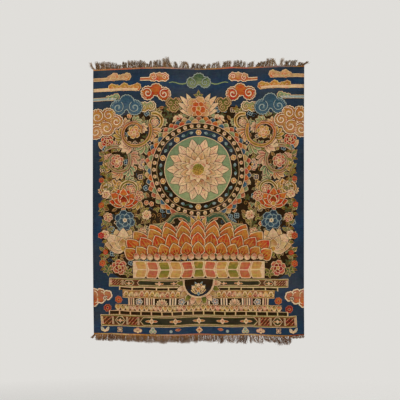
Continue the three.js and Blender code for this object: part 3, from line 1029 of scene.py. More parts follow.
def drawCartoon():
    # Later parts lie over earlier ones.
    ground()
    fillers(random.Random(seeds["fillers"]))
    scrolls()
    sky()
    crown()
    gardens()
    corners()
    place(medallion, complex(0, design["medallion"]))
    ribbons()
    lotusSeat()
    petalBand(**design["petalBand"])
    panelBand(**design["upperPanels"])
    dashRow(**design["upperDashes"])
    headRow(**design["upperHeads"])
    colonnade(**design["colonnade"])
    headRow(**design["lowerHeads"])
    dashRow(**design["lowerDashes"])
    panelBand(**design["lowerPanels"])
    place(niche, complex(0, design["niche"]))
    chosen = design["longPanelFlorets"]
    for x in chosen["places"]:
        place(floret, complex(x, chosen["height"]), size=chosen["size"])
    for spot in design["florets"]:
        bothSides(floret, complex(spot["x"], spot["y"]), size=spot["size"])
    emblems()
    endStripe(-design["stripeHeight"], design["topStripe"])
    endStripe(-hanging["length"], design["bottomStripe"])
    print("cartoon:", len(cartoon), "outlines")


# How the cartoon becomes a mesh, in millimetres.
weaving = {
    "joinGap": 0.05,       # outlines closer than this meet
    "straighten": 0.42,    # a point this near to the line between its neighbours is left out
    "longestEdge": 20.0,   # but an edge stays short enough to follow the folds
    "gridPitch": 19.0,     # loose points that let the plain ground bend
    "dyeLots": 0.05,       # how far the pieces differ in depth of colour, and then in warmth
    "dyeWarmth": 0.03,
    "overBlend": 0.5,      # how far past its stretch a piece may go on shading
    "mapMargin": 0.01,     # free room round the cloth in its UV map
}


def linear(colour):
    # A colour as it looks, from 0 to 255, to the light that it gives back.
    shares = [value / 255 for value in colour]
    return [share / 12.92 if share < 0.04045 else ((share + 0.055) / 1.055) ** 2.4 for share in shares]


def inside(outline, spots):
    # Whether each spot lies within an outline, where its own loops count as one shape.
    turns = np.zeros(len(spots), int)
    for start, end in zip(outline, np.roll(outline, -1)):
        along = end - start
        across = along.real * (spots.imag - start.imag) - along.imag * (spots.real - start.real)
        turns += (start.imag <= spots.imag) & (end.imag > spots.imag) & (across > 0)
        turns -= (start.imag > spots.imag) & (end.imag <= spots.imag) & (across < 0)
    return turns != 0


def topmostAt(spots):
    # Which piece of the cartoon shows at each spot: later outlines lie over earlier ones.
    order = np.argsort(spots.imag)
    heights = spots.imag[order]
    shown = np.zeros(len(spots), int)
    for number, (silk, shade, outline, span) in enumerate(cartoon):
        outline = np.array(outline)
        low, high = np.searchsorted(heights, (outline.imag.min(), outline.imag.max()))
        near = order[low:high]
        near = near[(spots.real[near] > outline.real.min()) & (spots.real[near] < outline.real.max())]
        if len(near):
            shown[near[inside(outline, spots[near])]] = number
    return shown


def resolveCartoon():
    # The outlines lie on each other. This cuts them into triangles that each show the topmost one.
    points, edges = [], []
    for silk, shade, outline, span in cartoon:
        first = len(points)
        points.extend(Vector((point.real, point.imag)) for point in outline)
        edges.extend((first + spot, first + (spot + 1) % len(outline)) for spot in range(len(outline)))
    flat = delaunay_2d_cdt(points, edges, [], 0, weaving["joinGap"], False)
    places, triangles = flat[0], flat[2]
    flatPlaces = np.array([complex(place.x, place.y) for place in places])
    return flatPlaces, triangles, topmostAt(flatPlaces[np.array(triangles)].mean(1))


def sameLooks():
    # For each piece of the cartoon, the first one that looks just as it does, so that the two run together.
    seen = {}
    return [seen.setdefault(silk if silk == shade else (silk, shade, span), number)
            for number, (silk, shade, outline, span) in enumerate(cartoon)]


def silkEdges(triangles, shown):
    # The edges where one silk meets another, and those of the cloth itself.
    looks = sameLooks()
    firstSide, meeting = {}, set()
    for triangle, number in zip(triangles, shown):
        for spot, corner in enumerate(triangle):
            edge = tuple(sorted((corner, triangle[spot - 1])))
            if edge not in firstSide:
                firstSide[edge] = looks[number]
                meeting.add(edge)
            elif firstSide[edge] == looks[number]:
                meeting.discard(edge)
    return sorted(meeting)


def straightened(places, edges):
    # Leaves out the points that an edge passes through without a turn.
    neighbours = {}
    for start, end in edges:
        neighbours.setdefault(start, set()).add(end)
        neighbours.setdefault(end, set()).add(start)
    for corner in sorted(neighbours):
        if len(neighbours[corner]) != 2:
            continue
        start, end = sorted(neighbours[corner])
        along = places[end] - places[start]
        off = abs(((places[corner] - places[start]) * along.conjugate()).imag) / (abs(along) or 1)
        short = off < weaving["straighten"] and abs(along) < weaving["longestEdge"]
        if short and end not in neighbours[start]:
            for one, other in ((start, end), (end, start)):
                neighbours[one].discard(corner)
                neighbours[one].add(other)
            del neighbours[corner]
    return sorted({tuple(sorted((corner, other))) for corner in neighbours for other in neighbours[corner]})


def weaveFlat():
    # Only the edges that show are kept, and the cloth between them is cut into even triangles.
    flatPlaces, triangles, shown = resolveCartoon()
    tree = BVHTree.FromPolygons([(place.real, place.imag, 0) for place in flatPlaces], triangles)
    edges = straightened(flatPlaces, silkEdges(triangles, shown))
    used = sorted({corner for edge in edges for corner in edge})
    renumbered = {corner: spot for spot, corner in enumerate(used)}
    points = [Vector((flatPlaces[corner].real, flatPlaces[corner].imag)) for corner in used]
    pitch, half, length = weaving["gridPitch"], hanging["halfWidth"], hanging["length"]
    columns, levels = round(2 * half / pitch), round(length / pitch)
    for row in range(levels + 1):
        for column in range(columns + 1):
            shift = 0.5 * (row % 2) * (0 < column < columns)
            points.append(Vector((-half + 2 * half * (column + shift) / columns, -length * row / levels)))
    edges = [(renumbered[start], renumbered[end]) for start, end in edges]
    flat = delaunay_2d_cdt(points, edges, [], 0, weaving["joinGap"], False)
    places = np.array([complex(place.x, place.y) for place in flat[0]])
    faces = np.array(flat[2])
    pieces = []
    for middle in places[faces].mean(1):
        hit = tree.ray_cast(Vector((middle.real, middle.imag, 1)), Vector((0, 0, -1)))
        pieces.append(shown[hit[2]] if hit[2] is not None else 0)
    return places, faces, np.array(pieces)


def silkColours(draw):
    # Each shaded piece is dyed a little apart from the next.
    colours = []
    for number, (first, (silk, shade, outline, span)) in enumerate(zip(sameLooks(), cartoon)):
        lot = draw.gauss(0, weaving["dyeLots"]) if silk != shade else 0
        warmth = draw.gauss(0, weaving["dyeWarmth"]) if silk != shade else 0
        if first < number:
            colours.append(colours[first])
            continue
        pair = []
        for name in (silk, shade):
            red, green, blue = linear(silks[name])
            pair.append([red * (1 + lot + warmth), green * (1 + lot), blue * (1 + lot - warmth), 1.0])
        colours.append(pair)
    return np.clip(np.array(colours), 0, 1)


def addValues(mesh, name, kind, domain, values):
    # A named attribute for the material to read.
    layer = mesh.attributes.new(name, kind, domain)
    layer.data.foreach_set("color" if kind == "FLOAT_COLOR" else "value", np.ravel(values))


def dyeFaces(mesh, shown, places, sides):
    # Each face's two silks, and each corner's place along the stretch over which its piece shades.
    colours = silkColours(random.Random(seeds["dyes"]))
    starts, ends = np.array([span for silk, shade, outline, span in cartoon]).T
    owner = np.repeat(shown, sides)
    reach = ends[owner] - starts[owner]
    blend = ((places - starts[owner]) * reach.conj()).real / np.abs(reach) ** 2
    addValues(mesh, "silk", "FLOAT_COLOR", "FACE", colours[shown, 0])
    addValues(mesh, "shade", "FLOAT_COLOR", "FACE", colours[shown, 1])
    over = weaving["overBlend"]
    addValues(mesh, "blend", "FLOAT", "CORNER", np.clip(blend, -over, 1 + over))


def mapCloth(mesh, places):
    # The cloth lies flat in its UV map, with its two faces in the same place.
    margin = weaving["mapMargin"]
    scale = (1 - 2 * margin) / hanging["length"]
    across = (places.real + hanging["halfWidth"]) * scale + margin
    spots = np.stack([across, places.imag * scale + 1 - margin], -1)
    mesh.uv_layers.new(name="OFBake").data.foreach_set("uv", spots.ravel())


def sharpenRim(mesh, count, rimStarts, rimEnds):
    edgeEnds = np.zeros(len(mesh.edges) * 2, int)
    mesh.edges.foreach_get("vertices", edgeEnds)
    low, high = np.sort(edgeEnds.reshape(-1, 2), 1).T
    rimCodes = np.minimum(rimStarts, rimEnds) * count + np.maximum(rimStarts, rimEnds)
    sameSide = (low < count) == (high < count)
    sharp = sameSide & np.isin((low % count) * count + high % count, rimCodes)
    addValues(mesh, "sharp_edge", "BOOLEAN", "EDGE", sharp)


def weavePanel():
    # Two faces of the cloth and the rim between them, each piece of the cartoon with its silks.
    places, faces, pieces = weaveFlat()
    count = len(places)
    half, length = hanging["halfWidth"], hanging["length"]
    along = np.clip((places.real + half) / (2 * half), 0, 1)
    down = np.clip(-places.imag / length, 0, 1)
    middle = hung(along, down)
    halfThick = hanging["thickness"] * mm / 2
    points = np.concatenate([middle - (0, halfThick, 0), middle + (0, halfThick, 0)])

    starts, ends = faces.ravel(), np.roll(faces, -1, 1).ravel()
    onRim = ~np.isin(starts * count + ends, ends * count + starts)
    rimStarts, rimEnds = starts[onRim], ends[onRim]
    rim = np.stack([rimStarts, rimStarts + count, rimEnds + count, rimEnds], -1)
    polygons = faces.tolist() + (faces[:, ::-1] + count).tolist() + rim.tolist()
    mesh = bpy.data.meshes.new("wovenPanel")
    mesh.from_pydata(points.tolist(), [], polygons)

    corners = np.zeros(len(mesh.loops), int)
    mesh.loops.foreach_get("vertex_index", corners)
    corners %= count
    sides = np.array([len(polygon) for polygon in polygons])
    shown = np.concatenate([pieces, pieces, np.repeat(len(cartoon) - 1, len(rim))])
    dyeFaces(mesh, shown, places[corners], sides)
    mapCloth(mesh, places[corners])
    sharpenRim(mesh, count, rimStarts, rimEnds)
    mesh.polygons.foreach_set("use_smooth", [True] * len(mesh.polygons))
    mesh.validate()
    print("wovenPanel:", len(np.unique(pieces)), "outlines show,", 2 * (len(faces) + len(rim)), "triangles")
    return newObject("wovenPanel", mesh)


# The finish of the cloth. Sizes are millimetres, across, forward and up. A range is a stretch of a noise,
# and then the stretch that it is drawn out to.
silkFinish = {
    "ribPitch": 1.15,         # from one warp rib to the next
    "ribWander": {"Distortion": 1.2, "Detail": 1.0, "Detail Scale": 0.4},
    "weftRun": 5,
    "weftPitch": 0.8,
    "weftRange": (0.3, 0.7, 0, 0.9),
    "reliefHeight": 0.4,
    "relief": 0.35,           # how strongly the ribs shade
    "dyeShift": 0.28,         # how far one batch of dye is from the next
    "hueShift": 0.022,
    "dyeStreaks": (           # their sizes, and how much each counts
        ((26, 26, 2.0), 0.3), ((11, 11, 5.0), 0.3), ((78, 78, 14), 0.15), ((4.6, 4.6, 40), 0.25),
    ),
    "dyeRange": (0.34, 0.66, -1, 1),
    "hueLots": (17, 17, 8),
    "hueRange": (0.3, 0.7, -1, 1),
    "fadedPatches": (143, 143, 111),
    "fadedRange": (0.45, 0.75, 0, 1),
    "soiledPatches": (62, 62, 91),
    "soiledRange": (0.5, 0.8, 0, 1),
    "hatchRun": 15.0,         # how far a weft of one silk reaches into the next
    "hatchHeight": 1.3,
    "hatchRange": (0.25, 0.75, -0.65, 0.65),
    "hatchEdge": (0.22, 0.78, 0, 1),
    "fadeTo": (190, 165, 130),
    "fade": 0.06,
    "soilTo": (120, 96, 70),
    "soil": 0.2,
    "roughRange": (0.8, 1.2, 0.86, 0.62),      # this one is by the shade of the dye
    "sheen": 0.04,
    "sheenRoughness": 0.4,
    "specular": 0.06,
}

# The finish of the loose warp ends.
threadFinish = {
    "dyeShift": 0.25,
    "hueShift": 0.008,
    "roughness": 0.7,
    "sheen": 0.06,
    "sheenRoughness": 0.4,
    "specular": 0.08,
}


def addNode(tree, kind, inputs=None, **settings):
    # A node with its settings. Each input is a plain value or the socket that feeds it.
    node = tree.nodes.new(kind)
    for name, value in settings.items():
        setattr(node, name, value)
    for label, value in (inputs or {}).items():
        if isinstance(value, bpy.types.NodeSocket):
            tree.links.new(value, node.inputs[label])
        else:
            node.inputs[label].default_value = value
    return node


def calculated(tree, operation, first, second):
    return addNode(tree, "ShaderNodeMath", {0: first, 1: second}, operation=operation).outputs[0]


def ranged(tree, value, low, high, toLow, toHigh):
    ends = {"Value": value, "From Min": low, "From Max": high, "To Min": toLow, "To Max": toHigh}
    return addNode(tree, "ShaderNodeMapRange", ends, clamp=True).outputs["Result"]


def cloudNoise(tree, vector, sizes, detail=2.0, roughness=0.5):
    # Soft noise whose patches have their own size in each direction, in millimetres.
    scale = [1 / (size * mm) for size in sizes]
    stretched = addNode(tree, "ShaderNodeMapping", {"Vector": vector, "Scale": scale}).outputs["Vector"]
    choices = {"Vector": stretched, "Scale": 1.0, "Detail": detail, "Roughness": roughness}
    return addNode(tree, "ShaderNodeTexNoise", choices).outputs["Fac"]


def mixedColour(tree, kind, share, first, second):
    node = addNode(tree, "ShaderNodeMix", {0: share, 6: first, 7: second}, data_type="RGBA", blend_type=kind)
    return node.outputs[2]


def nodeGroup(name, inputs, outputs):
    group = bpy.data.node_groups.new(name, "ShaderNodeTree")
    for label, kind, value in inputs:
        group.interface.new_socket(name=label, in_out="INPUT", socket_type=kind).default_value = value
    for label in outputs:
        group.interface.new_socket(name=label, in_out="OUTPUT", socket_type="NodeSocketFloat")
    return group, group.nodes.new("NodeGroupInput").outputs, group.nodes.new("NodeGroupOutput").inputs


def ribGroup():
    # Warp ribs run up the cloth and wefts cross them. Height is for a Bump node.
    group, given, made = nodeGroup("silkRibs", [("Vector", "NodeSocketVector", (0, 0, 0))], ["Height"])
    bands = dict(silkFinish["ribWander"], Vector=given["Vector"])
    bands["Scale"] = math.pi / (10 * silkFinish["ribPitch"] * mm)
    ribs = addNode(group, "ShaderNodeTexWave", bands, wave_type="BANDS", bands_direction="X").outputs["Fac"]
    run = silkFinish["weftRun"]
    wefts = cloudNoise(group, given["Vector"], (run, run, silkFinish["weftPitch"]), 1.0)
    wefts = ranged(group, wefts, *silkFinish["weftRange"])
    group.links.new(calculated(group, "ADD", ribs, wefts), made["Height"])
    return group


def dyeGroup():
    # Streaks along the weft where the dye lots differ: a shade around 1, and a hue around 0.5.
    inputs = [("Vector", "NodeSocketVector", (0, 0, 0)), ("Shift", "NodeSocketFloat", 0.1),
              ("Hue Shift", "NodeSocketFloat", 0.01)]
    group, given, made = nodeGroup("dyeStreaks", inputs, ["Shade", "Hue"])
    mixed = 0.0
    for sizes, weight in silkFinish["dyeStreaks"]:
        streaks = cloudNoise(group, given["Vector"], sizes)
        mixed = calculated(group, "ADD", mixed, calculated(group, "MULTIPLY", streaks, weight))
    centred = ranged(group, mixed, *silkFinish["dyeRange"])
    shade = calculated(group, "ADD", calculated(group, "MULTIPLY", centred, given["Shift"]), 1.0)
    group.links.new(shade, made["Shade"])
    lots = cloudNoise(group, given["Vector"], silkFinish["hueLots"])
    lots = ranged(group, lots, *silkFinish["hueRange"])
    hue = calculated(group, "ADD", calculated(group, "MULTIPLY", lots, given["Hue Shift"]), 0.5)
    group.links.new(hue, made["Hue"])
    return group


def ageGroup():
    # Where the cloth has faded, and where handling and smoke have darkened it.
    inputs = [("Vector", "NodeSocketVector", (0, 0, 0))]
    group, given, made = nodeGroup("silkAge", inputs, ["Faded", "Soiled"])
    faded = cloudNoise(group, given["Vector"], silkFinish["fadedPatches"], 4.0, 0.6)
    soiled = cloudNoise(group, given["Vector"], silkFinish["soiledPatches"], 5.0, 0.65)
    group.links.new(ranged(group, faded, *silkFinish["fadedRange"]), made["Faded"])
    group.links.new(ranged(group, soiled, *silkFinish["soiledRange"]), made["Soiled"])
    return group


def hatchGroup():
    # Wefts of two silks that reach into each other, so that one shades into the next.
    inputs = [("Vector", "NodeSocketVector", (0, 0, 0)), ("Blend", "NodeSocketFloat", 0.5)]
    group, given, made = nodeGroup("weftHatching", inputs, ["Share"])
    run, height = silkFinish["hatchRun"], silkFinish["hatchHeight"]
    streaks = cloudNoise(group, given["Vector"], (run, run, height))
    streaks = ranged(group, streaks, *silkFinish["hatchRange"])
    reached = calculated(group, "ADD", streaks, given["Blend"])
    group.links.new(ranged(group, reached, *silkFinish["hatchEdge"]), made["Share"])
    return group


silkGroups = {"ribs": ribGroup(), "dye": dyeGroup(), "age": ageGroup(), "hatch": hatchGroup()}


def grouped(tree, name, inputs):
    return addNode(tree, "ShaderNodeGroup", inputs, node_tree=silkGroups[name]).outputs


def newMaterial(name, finish):
    material = bpy.data.materials.new(name)
    material.use_nodes = True
    shader = material.node_tree.nodes["Principled BSDF"]
    shader.inputs["Sheen Weight"].default_value = finish["sheen"]
    shader.inputs["Sheen Roughness"].default_value = finish["sheenRoughness"]
    shader.inputs["Specular IOR Level"].default_value = finish["specular"]
    return material, material.node_tree, shader.inputs


def attribute(tree, name, output="Fac"):
    return addNode(tree, "ShaderNodeAttribute", attribute_name=name).outputs[output]


def aged(tree, colour, at, finish):
    # The dyed silk with its streaks, and then what time has done to it.
    dye = grouped(tree, "dye", {"Vector": at, "Shift": finish["dyeShift"], "Hue Shift": finish["hueShift"]})
    dyed = {"Hue": dye["Hue"], "Value": dye["Shade"], "Color": colour}
    colour = addNode(tree, "ShaderNodeHueSaturation", dyed).outputs["Color"]
    age = grouped(tree, "age", {"Vector": at})
    for output, name, kind in (("Faded", "fade", "MIX"), ("Soiled", "soil", "MULTIPLY")):
        share = calculated(tree, "MULTIPLY", age[output], silkFinish[name])
        colour = mixedColour(tree, kind, share, colour, linear(silkFinish[name + "To"]) + [1])
    return colour, dye["Shade"]


def tapestrySilk():
    material, tree, shader = newMaterial("tapestrySilk", silkFinish)
    at = addNode(tree, "ShaderNodeTexCoord").outputs["Object"]
    share = grouped(tree, "hatch", {"Vector": at, "Blend": attribute(tree, "blend")})["Share"]
    first, second = attribute(tree, "silk", "Color"), attribute(tree, "shade", "Color")
    woven = mixedColour(tree, "MIX", share, first, second)
    colour, shade = aged(tree, woven, at, silkFinish)
    tree.links.new(colour, shader["Base Color"])
    tree.links.new(ranged(tree, shade, *silkFinish["roughRange"]), shader["Roughness"])
    ribs = {
        "Height": grouped(tree, "ribs", {"Vector": at})["Height"],
        "Strength": silkFinish["relief"],
        "Distance": silkFinish["reliefHeight"] * mm,
    }
    tree.links.new(addNode(tree, "ShaderNodeBump", ribs).outputs["Normal"], shader["Normal"])
    return material


def threadSilk(name, colours, tipColour, tipShare):
    # Loose warp ends: tone says how dark a thread is, and alongThread how far it is from the cloth.
    material, tree, shader = newMaterial(name, threadFinish)
    at = addNode(tree, "ShaderNodeTexCoord").outputs["Object"]
    ramp = addNode(tree, "ShaderNodeValToRGB", {"Fac": attribute(tree, "tone")})
    stops = ramp.color_ramp.elements
    for number, colour in enumerate(colours):
        share = number / (len(colours) - 1)
        stop = stops[number] if number < 2 else stops.new(share)
        stop.position = share
        stop.color = linear(colour) + [1]
    worn = calculated(tree, "MULTIPLY", attribute(tree, "alongThread"), tipShare)
    paled = mixedColour(tree, "MIX", worn, ramp.outputs["Color"], linear(tipColour) + [1])
    colour, shade = aged(tree, paled, at, threadFinish)
    tree.links.new(colour, shader["Base Color"])
    shader["Roughness"].default_value = threadFinish["roughness"]
    return material


# One loose warp end, in millimetres. It starts a little inside the cloth, and inset from its selvedges,
# wanders by this much over this distance, and thins to its tip.
warpEnd = {
    "radius": 0.36, "steps": 9, "sides": 3, "inside": 1, "inset": 1, "wander": 4.0, "wanderSize": 11.0,
    "thinning": 0.45,
}

# What is left to chance: the usual error of a lock or a thread, or the two ends of its range. A thread
# is looser sideways than forward, and evenness brings its length nearer to its lock's.
chance = {
    "rootDepth": 0.3, "lockPlace": 0.08, "lockLength": (0.88, 1.1), "lockTone": 0.14, "lockBow": (1.4, 1.0),
    "aside": 0.6, "loose": 1.2, "strayLoose": 2.6, "looseForward": 0.8, "length": (0.5, 1.05),
    "strayLength": (0.3, 1.05), "evenness": 0.6, "bow": (0.6, 0.5), "curl": (0.3, 1.0), "tone": 0.2,
    "phase": 0.7, "fuzzLean": 2, "fuzzForward": 0.8, "fuzzLength": (3, 9), "fuzzBow": 0.6,
}

# Tufts of warp ends, left to right, in millimetres: the stretch of edge each grows from, the locks it
# parts into, how long they are, how far their tips lean across and towards the front, how much they
# curl, how many threads stand on each millimetre, how far a lock draws together (0 to 1), and its tone
# (0 dark to 1 pale). Strays is the share of threads that stand apart, and fuzz a number of short ones.
topFringe = {
    "strays": 0.3,
    "fuzz": 420,
    "waves": 1.1,
    "tipShare": 0.45,
    "colours": [(80, 54, 32), (122, 88, 56), (158, 120, 80), (192, 158, 116)],
    "tipColour": (160, 134, 100),
    "tufts": rows(
        "from to locks length lean forward curl dense drawn tone",
        (-398, -391, 1, 29, -15, 4, 3, 4.0, 0.5, 0.6),
        (-390, -331, 6, 29, -3, 3, 2, 4.2, 0.25, 0.45),
        (-331, -311, 2, 24, 2, 1, 3, 3.6, 0.35, 0.4),
        (-311, -289, 2, 16, 5, 5, 4, 3.0, 0.4, 0.55),
        (-289, -270, 2, 24, -2, 1, 2, 4.0, 0.35, 0.35),
        (-270, -206, 6, 27, 1, 2, 3, 4.2, 0.3, 0.45),
        (-206, -188, 2, 18, -5, 4, 4, 3.2, 0.5, 0.6),
        (-187, -176, 1, 28, 1, 0, 2, 3.8, 0.6, 0.4),
        (-172, -139, 3, 28, -2, 2, 3, 3.8, 0.5, 0.5),
        (-139, -110, 2, 36, -2, 3, 2, 4.2, 0.5, 0.5),
        (-106, -95, 1, 21, -9, 5, 4, 3.2, 0.6, 0.7),
        (-92, -76, 1, 27, -4, 1, 3, 3.4, 0.65, 0.45),
        (-72, -55, 1, 25, 7, 2, 4, 3.2, 0.65, 0.6),
        (-50, -36, 1, 27, -6, 1, 3, 3.2, 0.65, 0.4),
        (-30, 24, 4, 19, 5, 6, 4, 3.0, 0.5, 0.3),
        (30, 60, 2, 21, 4, 4, 4, 3.0, 0.6, 0.3),
        (68, 82, 1, 27, -2, 1, 2, 3.2, 0.7, 0.45),
        (86, 123, 3, 28, 5, 1, 3, 3.2, 0.7, 0.5),
        (127, 175, 4, 25, 6, 3, 3, 3.0, 0.65, 0.35),
        (184, 209, 2, 21, 4, 5, 4, 3.0, 0.6, 0.45),
        (213, 253, 3, 20, 7, 6, 4, 3.4, 0.5, 0.35),
        (253, 280, 2, 31, 5, 2, 2, 4.2, 0.5, 0.45),
        (289, 300, 1, 28, -10, 1, 2, 3.0, 0.8, 0.55),
        (307, 318, 1, 34, 6, 0, 2, 3.0, 0.8, 0.5),
        (322, 369, 4, 21, 5, 5, 5, 3.2, 0.5, 0.4),
        (370, 390, 2, 14, 5, 6, 4, 3.0, 0.4, 0.45),
        (390, 400, 1, 18, 19, 3, 3, 4.0, 0.5, 0.4),
    ),
}
bottomFringe = {
    "strays": 0.35,
    "fuzz": 420,
    "waves": 1.2,
    "tipShare": 0.8,
    "colours": [(90, 49, 22), (142, 91, 42), (174, 117, 58), (190, 146, 90)],
    "tipColour": (138, 108, 82),
    "tufts": rows(
        "from to locks length lean forward curl dense drawn tone",
        (-396, -387, 1, 15, -12, 4, 3, 5.0, 0.4, 0.75),
        (-387, -338, 4, 22, -2, 2, 3, 5.6, 0.05, 0.6),
        (-338, -284, 4, 24, 1, -1, 3, 5.6, 0.05, 0.5),
        (-284, -177, 8, 27, 0, 1, 3, 5.6, 0.08, 0.6),
        (-177, -67, 8, 29, 2, 2, 4, 5.2, 0.1, 0.5),
        (-67, 6, 6, 29, 1, 0, 4, 4.6, 0.2, 0.45),
        (6, 79, 6, 26, -1, 2, 5, 3.4, 0.35, 0.35),
        (79, 100, 1, 31, -1, 1, 4, 4.0, 0.6, 0.15),
        (102, 152, 4, 30, 4, 3, 6, 2.4, 0.45, 0.4),
        (156, 188, 2, 31, -4, 2, 5, 3.8, 0.6, 0.1),
        (190, 241, 4, 31, 7, 2, 6, 2.4, 0.45, 0.35),
        (243, 287, 3, 25, 9, 1, 6, 2.6, 0.45, 0.35),
        (288, 337, 3, 34, 12, 2, 6, 3.2, 0.55, 0.15),
        (344, 354, 1, 29, -3, 1, 4, 4.4, 0.7, 0.05),
        (355, 399, 4, 12, 3, -3, 4, 2.8, 0.4, 0.35),
    ),
}


def threadTree():
    # Each root point carries the way its thread reaches. A thread is a thin tube along a curve that
    # curls and wanders more towards its tip.
    tree = bpy.data.node_groups.new("warpEnds", "GeometryNodeTree")
    for label, kind, value in (
        ("Geometry", "NodeSocketGeometry", None),
        ("Thread Radius", "NodeSocketFloat", warpEnd["radius"] * mm),
        ("Thinning", "NodeSocketFloat", warpEnd["thinning"]),
        ("Steps", "NodeSocketInt", warpEnd["steps"]),
        ("Sides", "NodeSocketInt", warpEnd["sides"]),
        ("Waves", "NodeSocketFloat", 1.0),
        ("Wander", "NodeSocketFloat", warpEnd["wander"] * mm),
        ("Wander Size", "NodeSocketFloat", warpEnd["wanderSize"] * mm),
        ("Seed", "NodeSocketFloat", 1.0),
        ("Silk", "NodeSocketMaterial", None),
    ):
        socket = tree.interface.new_socket(name=label, in_out="INPUT", socket_type=kind)
        if value is not None:
            socket.default_value = value
    tree.interface.new_socket(name="Geometry", in_out="OUTPUT", socket_type="NodeSocketGeometry")
    given, made = tree.nodes.new("NodeGroupInput").outputs, tree.nodes.new("NodeGroupOutput").inputs

    def node(kind, output, inputs=None, **settings):
        return addNode(tree, kind, inputs, **settings).outputs[output]

    def carried(name, kind="FLOAT"):
        return node("GeometryNodeInputNamedAttribute", "Attribute", {"Name": name}, data_type=kind)

    def times(first, second):
        return calculated(tree, "MULTIPLY", first, second)

    def scaled(vector, by):
        return node("ShaderNodeVectorMath", "Vector", {0: vector, "Scale": by}, operation="SCALE")

    def added(first, second):
        return node("ShaderNodeVectorMath", "Vector", {0: first, 1: second}, operation="ADD")

    line = node("GeometryNodeCurvePrimitiveLine", "Curve")
    stepped = node("GeometryNodeResampleCurve", "Curve", {"Curve": line, "Count": given["Steps"]})
    rooted = {"Points": given["Geometry"], "Instance": stepped}
    threads = node("GeometryNodeInstanceOnPoints", "Instances", rooted)
    separate = node("GeometryNodeRealizeInstances", "Geometry", {"Geometry": threads})

    share = node("GeometryNodeSplineParameter", "Factor")
    arch = times(times(share, calculated(tree, "SUBTRACT", 1.0, share)), 4.0)
    straight = added(carried("root", "FLOAT_VECTOR"), scaled(carried("reach", "FLOAT_VECTOR"), share))
    bowed = added(straight, scaled(carried("bow", "FLOAT_VECTOR"), arch))
    turn = calculated(tree, "ADD", times(times(share, given["Waves"]), 2 * math.pi), carried("phase"))
    around = {"X": calculated(tree, "COSINE", turn, 0.0), "Y": calculated(tree, "SINE", turn, 0.0)}
    swirl = node("ShaderNodeCombineXYZ", "Vector", around)
    curled = added(bowed, scaled(swirl, times(share, carried("curl"))))
    noise = {
        "Vector": bowed,
        "Scale": calculated(tree, "DIVIDE", 1.0, given["Wander Size"]),
        "Detail": 1.0,
        "W": calculated(tree, "ADD", given["Seed"], carried("lot")),
    }
    centred = added(node("ShaderNodeTexNoise", "Color", noise, noise_dimensions="4D"), (-0.5, -0.5, -0.5))
    wandered = added(curled, scaled(centred, times(share, given["Wander"])))
    moved = node("GeometryNodeSetPosition", "Geometry", {"Geometry": separate, "Position": wandered})

    thickness = calculated(tree, "SUBTRACT", 1.0, times(share, given["Thinning"]))
    thinned = node("GeometryNodeSetCurveRadius", "Curve", {"Curve": moved, "Radius": thickness})
    measured = node("GeometryNodeStoreNamedAttribute", "Geometry",
                    {"Geometry": thinned, "Name": "alongThread", "Value": share}, domain="POINT")
    circle = {"Resolution": given["Sides"], "Radius": given["Thread Radius"]}
    section = node("GeometryNodeCurvePrimitiveCircle", "Curve", circle)
    ends = {"Curve": measured, "Profile Curve": section, "Fill Caps": True}
    tube = node("GeometryNodeCurveToMesh", "Mesh", ends)
    smooth = node("GeometryNodeSetShadeSmooth", "Geometry", {"Geometry": tube})
    whole = node("GeometryNodeRealizeInstances", "Geometry", {"Geometry": smooth})
    dyed = node("GeometryNodeSetMaterial", "Geometry", {"Geometry": whole, "Material": given["Silk"]})
    tree.links.new(dyed, made["Geometry"])
    return tree


def grow(name, tree, roots, settings):
    # Roots is a list of dictionaries, one for each thread. The tree's result becomes a plain mesh.
    seedMesh = bpy.data.meshes.new(name + "Roots")
    seedMesh.from_pydata([root["root"] for root in roots], [], [])
    for label in ("root", "reach", "bow"):
        values = seedMesh.attributes.new(label, "FLOAT_VECTOR", "POINT")
        values.data.foreach_set("vector", [part for root in roots for part in root[label]])
    for label in ("tone", "lot", "curl", "phase"):
        values = seedMesh.attributes.new(label, "FLOAT", "POINT")
        values.data.foreach_set("value", [root[label] for root in roots])
    maker = newObject(name + "Maker", seedMesh)
    modifier = maker.modifiers.new("threads", "NODES")
    modifier.node_group = tree
    sockets = {item.name: item.identifier for item in tree.interface.items_tree if item.in_out == "INPUT"}
    for label, value in settings.items():
        modifier[sockets[label]] = value
    seen = bpy.context.evaluated_depsgraph_get()
    mesh = bpy.data.meshes.new_from_object(maker.evaluated_get(seen), depsgraph=seen)
    mesh.name = name
    bpy.data.objects.remove(maker)
    return newObject(name, mesh)


